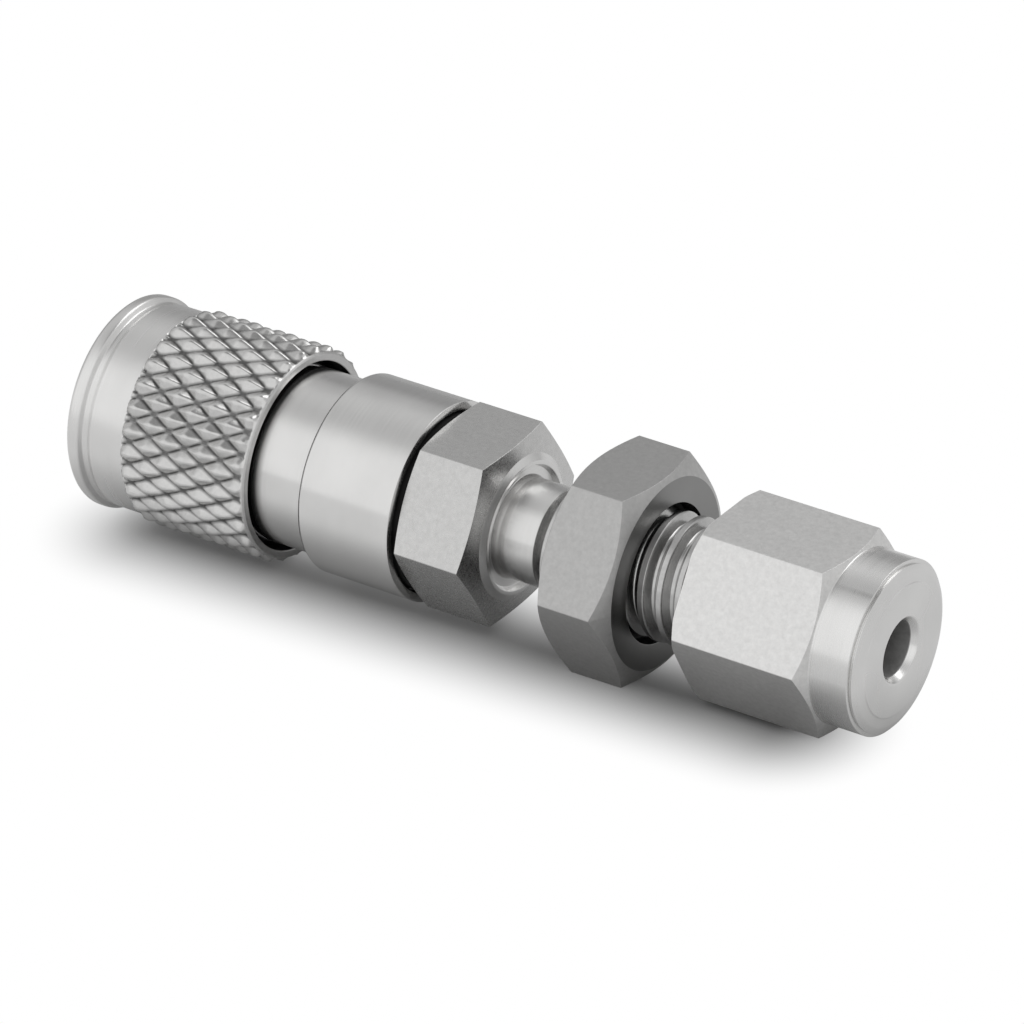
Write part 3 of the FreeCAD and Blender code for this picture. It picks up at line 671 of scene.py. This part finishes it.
def make_tube_nut():
    """Nut with a plain round collar, a small step and a domed end round the tube's hole."""
    rest = [
        (COLLAR_START, COLLAR_RADIUS, 0.12),
        (COLLAR_END - 2 * STEP_HALF, COLLAR_RADIUS, 0.03),
        (COLLAR_END - STEP_HALF, COLLAR_RADIUS - STEP_DEPTH, 0.02),
        (COLLAR_END + STEP_HALF, COLLAR_RADIUS - STEP_DEPTH, 0.02),
        (COLLAR_END + STEP_END, COLLAR_RADIUS - COLLAR_STEP, 0.04),
        (NOSE_MIDDLE, (COLLAR_RADIUS + NOSE_FACE) / 2, 0.5),
        (NUT_END - NOSE_GROOVE, NOSE_FACE + 0.08, 0.02),
        (NUT_END, NOSE_FACE, 0.05),
        (NUT_END, TUBE_HOLE_EDGE, 0.25),
        (NUT_END - TUBE_HOLE_LEAD, TUBE_HOLE, 0.15),
        (FERRULE_END, TUBE_BORE, 0.05),
        (FERRULE_END, FERRULE_BORE, 0.05),
        (FERRULE_STOP, FERRULE_BORE, 0.05),
        (FERRULE_STOP, NUT_BORE, 0.1),
        (NUT_START + BORE_CHAMFER, NUT_BORE, 0.05),
        (NUT_START, NUT_BORE + BORE_CHAMFER, 0.05),
    ]

    def outline(angle):
        side = hex_radius(angle, NUT_FLATS, 0)
        left = shoulder(side, NUT_START, NUT_FACE, NUT_LEAD, NUT_FLATS, 1)
        right = shoulder(side, COLLAR_START, COLLAR_RADIUS, NUT_BEVEL, NUT_FLATS, -1)
        return left + right[: ARC_STEPS : -1] + rest

    return lathe("tube_nut_collared", outline, hex_angles(NUT_FLATS, 0))


def make_spring(name, node, radius, wire, turns, closed_turns):
    """Coil of round wire between the ends of a node, with its last turns closed."""
    start, end = span(node)
    start, end = start + wire / 2, end - wire / 2
    open_turns = turns - 2 * closed_turns
    rise = CLOSED_RISE * wire
    slope = (end - start - 2 * closed_turns * rise) / open_turns
    steps = int(COIL_STEPS * turns)
    grid = np.zeros((WIRE_STEPS, steps + 1, 3))
    for step in range(steps + 1):
        turn = turns * step / steps
        low = min(turn, closed_turns)
        high = max(0, turn - closed_turns - open_turns)
        along = start + rise * (low + high) + slope * min(max(0, turn - closed_turns), open_turns)
        for spot in range(WIRE_STEPS):
            angle = 2 * math.pi * spot / WIRE_STEPS
            x = along + wire / 2 * math.cos(angle)
            r = radius + wire / 2 * math.sin(angle)
            grid[spot, step] = place(x, r, 360 * turn)
    return tube(name, grid)


def tube(name, grid):
    """Close a grid, rows round a wire and columns along it, with a cap at each end."""
    around, count = grid.shape[:2]
    faces = []
    for spot in range(around):
        after = (spot + 1) % around
        for step in range(count - 1):
            faces.append((spot * count + step, after * count + step,
                          after * count + step + 1, spot * count + step + 1))
    faces.append([spot * count for spot in range(around)])
    faces.append([spot * count + count - 1 for spot in range(around)])
    mesh = bpy.data.meshes.new(name)
    mesh.from_pydata(grid.reshape(-1, 3).tolist(), [], faces)
    return tidy_mesh(name, mesh)


WARMTH = (1.0, 0.995, 0.985)


class Shader:
    """A material's nodes, with short ways to add and join them."""

    def __init__(self, name):
        self.material = bpy.data.materials.new(name)
        self.material.use_nodes = True
        self.tree = self.material.node_tree
        self.tree.nodes.clear()
        self.output = self.add("ShaderNodeOutputMaterial")

    def add(self, kind, **settings):
        node = self.tree.nodes.new(kind)
        for key, setting in settings.items():
            setattr(node, key, setting)
        return node

    def join(self, source, target):
        self.tree.links.new(source, target)

    def reckon(self, operation, one, two):
        """Result of a sum on two sockets or numbers."""
        node = self.add("ShaderNodeMath", operation=operation)
        for number, term in enumerate((one, two)):
            if isinstance(term, (int, float)):
                node.inputs[number].default_value = term
            else:
                self.join(term, node.inputs[number])
        return node.outputs[0]

    def principled(self, **sockets):
        shader = self.add("ShaderNodeBsdfPrincipled")
        for key, setting in sockets.items():
            shader.inputs[key.replace("_", " ")].default_value = setting
        self.join(shader.outputs[0], self.output.inputs["Surface"])
        return shader

    def noise(self, stretch, detail=3.0, roughness=0.5):
        """Noise over the object's own coordinates, with so many waves per millimetre each way."""
        spot = self.add("ShaderNodeTexCoord")
        scale = self.add("ShaderNodeMapping")
        scale.inputs["Scale"].default_value = [one / MM for one in stretch]
        self.join(spot.outputs["Object"], scale.inputs["Vector"])
        noise = self.add("ShaderNodeTexNoise")
        noise.inputs["Scale"].default_value = 1.0
        noise.inputs["Detail"].default_value = detail
        noise.inputs["Roughness"].default_value = roughness
        self.join(scale.outputs["Vector"], noise.inputs["Vector"])
        return noise.outputs["Fac"]

    def ramp(self, source, low, high, lowest=0.3, highest=0.7):
        """Map a noise, which mostly lies between 0.3 and 0.7, onto a range of numbers."""
        ranged = self.add("ShaderNodeMapRange")
        ranged.inputs["From Min"].default_value = lowest
        ranged.inputs["From Max"].default_value = highest
        ranged.inputs["To Min"].default_value = low
        ranged.inputs["To Max"].default_value = high
        self.join(source, ranged.inputs["Value"])
        return ranged.outputs["Result"]

    def tint(self, source, low, high):
        """Map a noise onto a range of greys, very slightly warm."""
        mix = self.add("ShaderNodeMix", data_type="RGBA")
        mix.inputs[6].default_value = (*(low * part for part in WARMTH), 1)
        mix.inputs[7].default_value = (*(high * part for part in WARMTH), 1)
        self.join(self.ramp(source, 0, 1), mix.inputs[0])
        return mix.outputs[2]

    def bump(self, source, depth, shader):
        """Raise the surface by a noise, depth in millimetres."""
        bump = self.add("ShaderNodeBump")
        bump.inputs["Strength"].default_value = 1.0
        bump.inputs["Distance"].default_value = depth * MM
        self.join(source, bump.inputs["Height"])
        self.join(bump.outputs["Normal"], shader.inputs["Normal"])


def turned_steel(name, grey, roughness):
    """Steel with fine tool marks round the axis, which smear its gloss along the axis."""
    paint = Shader(name)
    shader = paint.principled(Metallic=1.0, Anisotropic=0.6, Anisotropic_Rotation=0.25)
    tangent = paint.add("ShaderNodeTangent", direction_type="RADIAL", axis="X")
    paint.join(tangent.outputs["Tangent"], shader.inputs["Tangent"])
    marks = paint.noise((9.0, 0.12, 0.12), detail=2.0, roughness=0.5)
    cloud = paint.noise((0.35, 0.35, 0.35), detail=3.0)
    paint.join(paint.tint(cloud, grey * 0.97, grey * 1.03), shader.inputs["Base Color"])
    paint.join(paint.ramp(marks, roughness * 0.85, roughness * 1.2), shader.inputs["Roughness"])
    paint.bump(marks, 0.0006, shader)
    return paint.material


def satin_steel(name, grey, roughness, grain=0.004):
    """Steel with the fine even grain of a blasted or tumbled face."""
    paint = Shader(name)
    shader = paint.principled(Metallic=1.0)
    fine = paint.noise((5.0, 5.0, 5.0), detail=5.0, roughness=0.65)
    cloud = paint.noise((3.0, 3.0, 3.0), detail=4.0, roughness=0.7)
    paint.join(paint.tint(cloud, grey * 0.93, grey * 1.07), shader.inputs["Base Color"])
    paint.join(paint.ramp(fine, roughness * 0.85, roughness * 1.15), shader.inputs["Roughness"])
    paint.bump(fine, grain, shader)
    return paint.material


def knurled_steel(name, grey, roughness):
    """Steel with painted shade in its rolled grooves, darker from the tips down to each groove's
    bottom.
    """
    paint = Shader(name)
    shader = paint.principled(Metallic=1.0)
    standing = paint.add("ShaderNodeAttribute", attribute_name="standing")
    fine = paint.noise((4.0, 4.0, 4.0), detail=4.0)
    # Painted shade: low in the grooves the grey falls to a fifth to a third of its plain value.
    tone = paint.ramp(standing.outputs["Fac"], 0, 1, 0.0, 0.28)
    groove = paint.tint(fine, grey * 0.2, grey * 0.3)
    tip_grey = paint.tint(fine, grey * 0.95, grey * 1.05)
    mix = paint.add("ShaderNodeMix", data_type="RGBA")
    paint.join(tone, mix.inputs[0])
    paint.join(groove, mix.inputs[6])
    paint.join(tip_grey, mix.inputs[7])
    paint.join(mix.outputs[2], shader.inputs["Base Color"])
    paint.join(paint.ramp(fine, roughness * 0.85, roughness * 1.15), shader.inputs["Roughness"])
    paint.bump(fine, 0.003, shader)
    return paint.material


def black_rubber():
    """Dark rubber with a faint bloom."""
    paint = Shader("seal_black_rubber")
    shader = paint.principled(Metallic=0.0, Specular_IOR_Level=0.12)
    cloud = paint.noise((1.5, 1.5, 1.5), detail=4.0)
    paint.join(paint.tint(cloud, 0.004, 0.01), shader.inputs["Base Color"])
    paint.join(paint.ramp(cloud, 0.5, 0.7), shader.inputs["Roughness"])
    paint.bump(paint.noise((12, 12, 12)), 0.004, shader)
    return paint.material


def white_plastic():
    """Dense white plastic of the backup ring."""
    paint = Shader("backup_white_plastic")
    shader = paint.principled(Metallic=0.0)
    cloud = paint.noise((2.0, 2.0, 2.0), detail=3.0)
    paint.join(paint.tint(cloud, 0.72, 0.82), shader.inputs["Base Color"])
    paint.join(paint.ramp(cloud, 0.35, 0.5), shader.inputs["Roughness"])
    paint.bump(paint.noise((20, 2, 2)), 0.002, shader)
    return paint.material


def finish_metal(made, plain, *regions, sharp=SHARP_ANGLE):
    """Give a mesh a material, and others where a test on a face's middle and normal holds."""
    smooth(made, sharp)
    made.data.materials.clear()
    made.data.materials.append(plain)
    for number, (material, holds) in enumerate(regions):
        made.data.materials.append(material)
        for face in made.data.polygons:
            if holds(face.center / MM, face.normal):
                face.material_index = number + 1


def repaint(node, material):
    """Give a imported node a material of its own."""
    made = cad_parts[node]
    if not made.data.materials:
        made.data.materials.append(material)
    for slot in made.material_slots:
        slot.link = "OBJECT"
        slot.material = material


def stand_in(made, node, body):
    """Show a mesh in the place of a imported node, moving with its body."""
    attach(made, body)
    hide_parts(node)


turned = turned_steel("body_turned_steel", grey=0.70, roughness=0.22)
# The knurl's grooves carry painted shade.
knurled = knurled_steel("sleeve_knurled_steel", grey=0.6, roughness=0.22)
sleeve_turned = turned_steel("sleeve_turned_steel", grey=0.73, roughness=0.31)
# The jam nut's end faces are painted a dark grey, painted shade for the shadowed parts they reflect.
jam_face_painted_shade = turned_steel("jam_face_painted_shade_steel", grey=0.26, roughness=0.3)
# Near black painted shade where the object lies in its own shadow: the sleeve's bore, the front body
# under the sleeve's rim, and the jam nut's recess and bore.
painted_shade_bore = satin_steel("bore_painted_shade_steel", grey=0.05, roughness=0.5)
# The tube's hole is painted darker than the nut, painted shade for its recess.
tube_hole_painted_shade = satin_steel("tube_hole_painted_shade_satin", grey=0.45, roughness=0.6)
# The rim's satin finish is real; its grey, darker than the turned band, is painted shade.
rim_painted_shade = satin_steel("sleeve_rim_painted_shade_satin", grey=0.56, roughness=0.36)
# The cut thread's smoother finish is real; its grey, darker than the turned shank, is painted shade for
# its flanks and lower side.
thread_painted_shade_steel = satin_steel("thread_cut_painted_shade_steel", grey=0.5, roughness=0.2, grain=0.0015)
hex_satin = satin_steel("body_hex_satin", grey=0.57, roughness=0.28)
jam_satin = satin_steel("jam_nut_satin", grey=0.47, roughness=0.42)
nut_satin = satin_steel("tube_nut_satin", grey=0.73, roughness=0.42)
nut_turned = turned_steel("nut_turned_steel", grey=0.74, roughness=0.26)
wire_steel = satin_steel("spring_wire_steel", grey=0.52, roughness=0.25, grain=0.001)
valve_steel = turned_steel("valve_turned_steel", grey=0.6, roughness=0.2)
ball_steel = satin_steel("ball_polished_steel", grey=0.72, roughness=0.08, grain=0.0002)
rubber = black_rubber()
plastic = white_plastic()


# Tests of a face's middle and normal, with small margins round the edges between the regions.
NEAR = 0.01
FACE_TILT = 0.97
NARROW_MARGIN = 0.5
WALL_MARGIN = 0.3


def on_body_hex(centre, normal):
    between = HEX_START - NEAR < centre.x < HEX_END + 2 * NEAR
    return between and off_axis(centre) > BOSS_RADIUS + NEAR


# Painted shade: the thread's darker grey.
def on_thread(centre, normal):
    return centre.x > NECK_END and off_axis(centre) > MOUTH_CONE + 10 * NEAR


def on_knurl(centre, normal):
    return KNURL_START < centre.x < KNURL_END and off_axis(centre) > KNURL_VALLEY - 5 * NEAR


# Painted shade: the rim's darker grey.
def on_rim(centre, normal):
    return centre.x >= KNURL_END and off_axis(centre) > SLEEVE_BORE - NEAR


# Painted shade: the sleeve's bore beyond its land.
def in_sleeve_bore(centre, normal):
    between = LAND_END < centre.x < SLEEVE_END - 8 * NEAR
    return between and off_axis(centre) < SLEEVE_BORE + 5 * NEAR


# Painted shade: the front body's narrow stretch under the sleeve's rim.
def under_the_rim(centre, normal):
    between = BARREL_END - NARROW_MARGIN < centre.x < NARROW_VISIBLE
    return between and off_axis(centre) > CHAMBER_RADIUS + WALL_MARGIN


def on_nut_hex(centre, normal):
    return centre.x < COLLAR_START + 2 * NEAR and off_axis(centre) > COLLAR_RADIUS + NEAR


# Painted shade: the tube's hole in the nut's end.
def in_tube_hole(centre, normal):
    return centre.x > FERRULE_END and off_axis(centre) < TUBE_HOLE + 2 * NEAR


# Painted shade: the jam nut's flat end faces.
def on_jam_face(centre, normal):
    return abs(normal.x) > FACE_TILT and off_axis(centre) < JAM_FACE + 2 * NEAR


# Painted shade: the jam nut's recess and bore.
def in_jam_recess(centre, normal):
    return off_axis(centre) < JAM_RECESS + NEAR and abs(normal.x) < FACE_TILT


front_body = make_front_body()
finish_metal(front_body, turned, (painted_shade_bore, under_the_rim))
stand_in(front_body, "front_body", "body")

bulkhead = make_bulkhead_body()
finish_metal(bulkhead, turned, (hex_satin, on_body_hex), (thread_painted_shade_steel, on_thread))
stand_in(bulkhead, "bulkhead_body", "body")

sleeve = make_locking_sleeve()
finish_metal(sleeve, sleeve_turned, (knurled, on_knurl), (rim_painted_shade, on_rim),
             (painted_shade_bore, in_sleeve_bore), sharp=KNURL_SHARP_ANGLE)
stand_in(sleeve, "locking_sleeve", "sleeve")

jam_nut = make_jam_nut()
finish_metal(jam_nut, jam_satin, (jam_face_painted_shade, on_jam_face), (painted_shade_bore, in_jam_recess))
stand_in(jam_nut, "jam_nut", "jam_nut")

tube_nut = make_tube_nut()
finish_metal(tube_nut, nut_turned, (nut_satin, on_nut_hex), (tube_hole_painted_shade, in_tube_hole))
stand_in(tube_nut, "tube_nut", "tube_nut")

body_seal = make_body_seal()
smooth(body_seal)
body_seal.data.materials.append(rubber)
stand_in(body_seal, "body_seal", "body")

sleeve_spring = make_spring("sleeve_spring_coil", "sleeve_spring", radius=5.44, wire=0.6, turns=3.5,
                            closed_turns=0.6)
smooth(sleeve_spring)
sleeve_spring.data.materials.append(wire_steel)
stand_in(sleeve_spring, "sleeve_spring", "body")
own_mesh(sleeve_spring)

poppet_spring = make_spring("poppet_spring_coil", "poppet_spring", radius=1.5, wire=0.4, turns=4.0,
                            closed_turns=0.7)
smooth(poppet_spring)
poppet_spring.data.materials.append(wire_steel)
stand_in(poppet_spring, "poppet_spring", "body")
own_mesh(poppet_spring)

for node in ("poppet", "poppet_guide", "front_ferrule", "back_ferrule"):
    repaint(node, valve_steel)
repaint("sleeve_retaining_ring", wire_steel)
for node in ("stem_seal", "poppet_seal"):
    repaint(node, rubber)
repaint("backup_ring", plastic)
for number in range(BALLS):
    repaint(f"locking_ball_{number + 1}", ball_steel)

# The floor touches the sleeve's rim and the jam nut's lower flat, so it leans a little.
FLOOR_SLOPE = (SLEEVE_RADIUS - JAM_FLATS / 2) / (JAM_START + JAM_LEAD - KNURL_END)
FLOOR_SIZE = 3000.0
SHADOW_SIDE = -2.5
SHADOW_LEFT = 4.0
SHADOW_RIGHT = 7.0
WHITE_NEAR = -0.4
WHITE_FAR = 8.4
GLOSS_NEAR = 0.0
GLOSS_FAR = 16.0
GLOSS_MOST = 0.66
# The floor's grey falls from left to right, painted shade that darkens the shadow under the nuts.
FLOOR_LEFT = 0.52
FLOOR_RIGHT = 0.2
BACK_NEAR = 5.0
BACK_FAR = 25.0
LEFT_DIM = 5.0
RIGHT_DIM = 32.0


def make_floor():
    """Pale floor whose open parts are plain white, and which keeps the object's shadow."""
    bpy.ops.mesh.primitive_plane_add(size=FLOOR_SIZE * MM)
    floor = bpy.context.object
    floor.name = "floor"
    floor.rotation_euler = (0, -math.atan(FLOOR_SLOPE), 0)
    floor.location = (KNURL_END * MM, 0, -SLEEVE_RADIUS * MM)
    floor.data.materials.append(floor_material())


def floor_material():
    """White to the camera and pale in reflections, except near the object, where it keeps shadows."""
    paint = Shader("floor_white")
    spot = paint.add("ShaderNodeTexCoord")
    split = paint.add("ShaderNodeSeparateXYZ")
    paint.join(spot.outputs["Object"], split.inputs["Vector"])
    along, across = split.outputs["X"], split.outputs["Y"]
    before = paint.reckon("SUBTRACT", (SLEEVE_START + SHADOW_LEFT - KNURL_END) * MM, along)
    beyond = paint.reckon("SUBTRACT", along, (NUT_END - SHADOW_RIGHT - KNURL_END) * MM)
    outside = paint.reckon("MAXIMUM", paint.reckon("MAXIMUM", before, beyond), 0.0)
    away = paint.add("ShaderNodeCombineXYZ")
    paint.join(outside, away.inputs["X"])
    paint.join(paint.reckon("SUBTRACT", across, SHADOW_SIDE * MM), away.inputs["Y"])
    length = paint.add("ShaderNodeVectorMath", operation="LENGTH")
    paint.join(away.outputs["Vector"], length.inputs[0])
    distance = length.outputs["Value"]
    rays = paint.add("ShaderNodeLightPath").outputs
    seen = white_share(paint, distance, (WHITE_NEAR, WHITE_FAR, 1.0), rays["Is Camera Ray"])
    both = paint.reckon("MAXIMUM", rays["Is Glossy Ray"], rays["Is Transmission Ray"])
    mirrored = white_share(paint, distance, (GLOSS_NEAR, GLOSS_FAR, GLOSS_MOST), both)
    # Painted shade in reflections of the floor's back left part.
    mirrored = less_at_back_left(paint, along, across, mirrored)
    shade = paint.add("ShaderNodeBsdfDiffuse")
    ends = (-KNURL_END * MM, (NUT_END - KNURL_END) * MM)
    # Painted shade: the floor's grey darkens towards the right end.
    paint.join(paint.ramp(along, FLOOR_LEFT, FLOOR_RIGHT, *ends), shade.inputs["Color"])
    white = paint.add("ShaderNodeEmission")
    white.inputs["Strength"].default_value = 1.0
    mix = paint.add("ShaderNodeMixShader")
    paint.join(paint.reckon("MAXIMUM", seen, mirrored), mix.inputs["Fac"])
    paint.join(shade.outputs[0], mix.inputs[1])
    paint.join(white.outputs[0], mix.inputs[2])
    paint.join(mix.outputs[0], paint.output.inputs["Surface"])
    return paint.material


def less_at_back_left(paint, along, across, share):
    """Painted shade: the far left part of the floor, behind the object, is dimmer in reflections."""
    back = paint.ramp(across, 0, 1, BACK_NEAR * MM, BACK_FAR * MM)
    left = paint.ramp(along, 1, 0, (LEFT_DIM - KNURL_END) * MM, (RIGHT_DIM - KNURL_END) * MM)
    rest = paint.reckon("SUBTRACT", 1.0, paint.reckon("MULTIPLY", back, left))
    return paint.reckon("MULTIPLY", share, rest)


def white_share(paint, distance, limits, rays):
    """Share of plain white at a distance from the object, for some kinds of ray only."""
    near, far, most = limits
    ranged = paint.add("ShaderNodeMapRange", interpolation_type="SMOOTHSTEP")
    ranged.inputs["To Max"].default_value = most
    ranged.inputs["From Min"].default_value = near * MM
    ranged.inputs["From Max"].default_value = far * MM
    paint.join(distance, ranged.inputs["Value"])
    return paint.reckon("MULTIPLY", ranged.outputs["Result"], rays)


# Brightness of the studio's parts, and where each of them starts and ends, as parts of a direction.
SKY = 0.70
FRONT_BOX = 0.32
FRONT_EDGE = (-0.5, -0.1)
BACK_SHADE = 0.34
BACK_HEIGHT = (0.22, 0.58)
BACK_EDGE = (0.0, 0.4)
BACK_RIGHT = (0.1, 0.6)
ZENITH_SHADE = 0.35
ZENITH_HEIGHT = (0.85, 0.97)
LEFT_SHADE = 0.16
LEFT_EDGE = (-0.45, -0.1)
LEFT_BACK = (0.2, 0.55)
LEFT_BOTTOM = (0.2, 0.4)
LEFT_TOP = (0.6, 0.75)


def make_world():
    """Soft studio light: a pale ceiling, a brighter box in front and a dimmer wall behind."""
    world = bpy.data.worlds.new("studio")
    bpy.context.scene.world = world
    world.use_nodes = True
    tree = world.node_tree
    tree.nodes.clear()
    spot = tree.nodes.new("ShaderNodeTexCoord")
    split = tree.nodes.new("ShaderNodeSeparateXYZ")
    tree.links.new(spot.outputs["Generated"], split.inputs["Vector"])

    def step(part, ends, low, high):
        node = tree.nodes.new("ShaderNodeMapRange")
        node.interpolation_type = "SMOOTHSTEP"
        node.inputs["From Min"].default_value, node.inputs["From Max"].default_value = ends
        node.inputs["To Min"].default_value = low
        node.inputs["To Max"].default_value = high
        tree.links.new(split.outputs[part], node.inputs["Value"])
        return node.outputs["Result"]

    def combine(one, two, operation):
        node = tree.nodes.new("ShaderNodeMath")
        node.operation = operation
        tree.links.new(one, node.inputs[0])
        tree.links.new(two, node.inputs[1])
        return node.outputs[0]

    box = step("Y", FRONT_EDGE, FRONT_BOX, 0.0)
    wall = combine(step("Z", BACK_HEIGHT, BACK_SHADE, 0.0), step("Y", BACK_EDGE, 0.0, -1.0), "MULTIPLY")
    wall = combine(wall, step("X", BACK_RIGHT, 1.0, 0.0), "MULTIPLY")
    top = step("Z", ZENITH_HEIGHT, SKY, SKY - ZENITH_SHADE)
    height = combine(step("Z", LEFT_BOTTOM, 0.0, 1.0), step("Z", LEFT_TOP, 1.0, 0.0), "MULTIPLY")
    behind = combine(step("Y", LEFT_BACK, 0.0, 1.0), height, "MULTIPLY")
    left = combine(step("X", LEFT_EDGE, -LEFT_SHADE, LEFT_SHADE / 2), behind, "MULTIPLY")
    level = combine(combine(box, wall, "ADD"), combine(top, left, "ADD"), "ADD")
    rays = tree.nodes.new("ShaderNodeLightPath")
    mix = tree.nodes.new("ShaderNodeMix")
    mix.data_type = "FLOAT"
    tree.links.new(rays.outputs["Is Camera Ray"], mix.inputs[0])
    tree.links.new(level, mix.inputs[2])
    mix.inputs[3].default_value = 1.0
    background = tree.nodes.new("ShaderNodeBackground")
    background.inputs["Color"].default_value = (1, 1, 1, 1)
    tree.links.new(mix.outputs[0], background.inputs["Strength"])
    output = tree.nodes.new("ShaderNodeOutputWorld")
    tree.links.new(background.outputs[0], output.inputs["Surface"])


LAMP_PLACE = (120, 220, 330)
LAMP_SIZE = 260
LAMP_POWER = 0.3
OBJECT_MIDDLE = (28.0, 0, 0)

# The camera stands off the tube's end by so many millimetres to the right, up and back.
ELEVATION = 29.33
AZIMUTH = 33.59
CAMERA_OFF = (-22.605, 8.032, 405.94)
FOCAL_PIXELS = 7000
PHOTO_PIXELS = 1024
SENSOR_WIDTH = 36.0
CLIP = (0.01, 10)


def make_lamp(name, position, size, power):
    """A square lamp aimed at the object's middle, position in millimetres."""
    data = bpy.data.lights.new(name, "AREA")
    data.size = size * MM
    data.energy = power
    lamp = bpy.data.objects.new(name, data)
    bpy.context.scene.collection.objects.link(lamp)
    target = Vector(OBJECT_MIDDLE) * MM
    lamp.location = Vector(position) * MM
    lamp.rotation_euler = (target - lamp.location).to_track_quat("-Z", "Y").to_euler()


def make_camera():
    """Camera at the photograph's angle, from the tube's end and a little above."""
    elevation, azimuth = math.radians(ELEVATION), math.radians(AZIMUTH)
    right = Vector((math.cos(azimuth), math.sin(azimuth), 0))
    level = Vector((math.sin(azimuth), -math.cos(azimuth), 0)) * math.cos(elevation)
    back = level + Vector((0, 0, math.sin(elevation)))
    up = back.cross(right)
    data = bpy.data.cameras.new("camera")
    data.sensor_width = SENSOR_WIDTH
    data.lens = FOCAL_PIXELS / PHOTO_PIXELS * SENSOR_WIDTH
    data.clip_start, data.clip_end = CLIP
    camera = bpy.data.objects.new("camera", data)
    bpy.context.scene.collection.objects.link(camera)
    off = Matrix((right, up, back)).transposed()
    stand = Vector((NUT_END, 0, 0)) + off @ Vector(CAMERA_OFF)
    camera.matrix_world = Matrix.Translation(stand * MM) @ off.to_4x4()
    bpy.context.scene.camera = camera


make_floor()
make_world()
make_lamp("top_lamp", LAMP_PLACE, LAMP_SIZE, LAMP_POWER)
make_camera()
bpy.context.scene.view_settings.view_transform = "Standard"
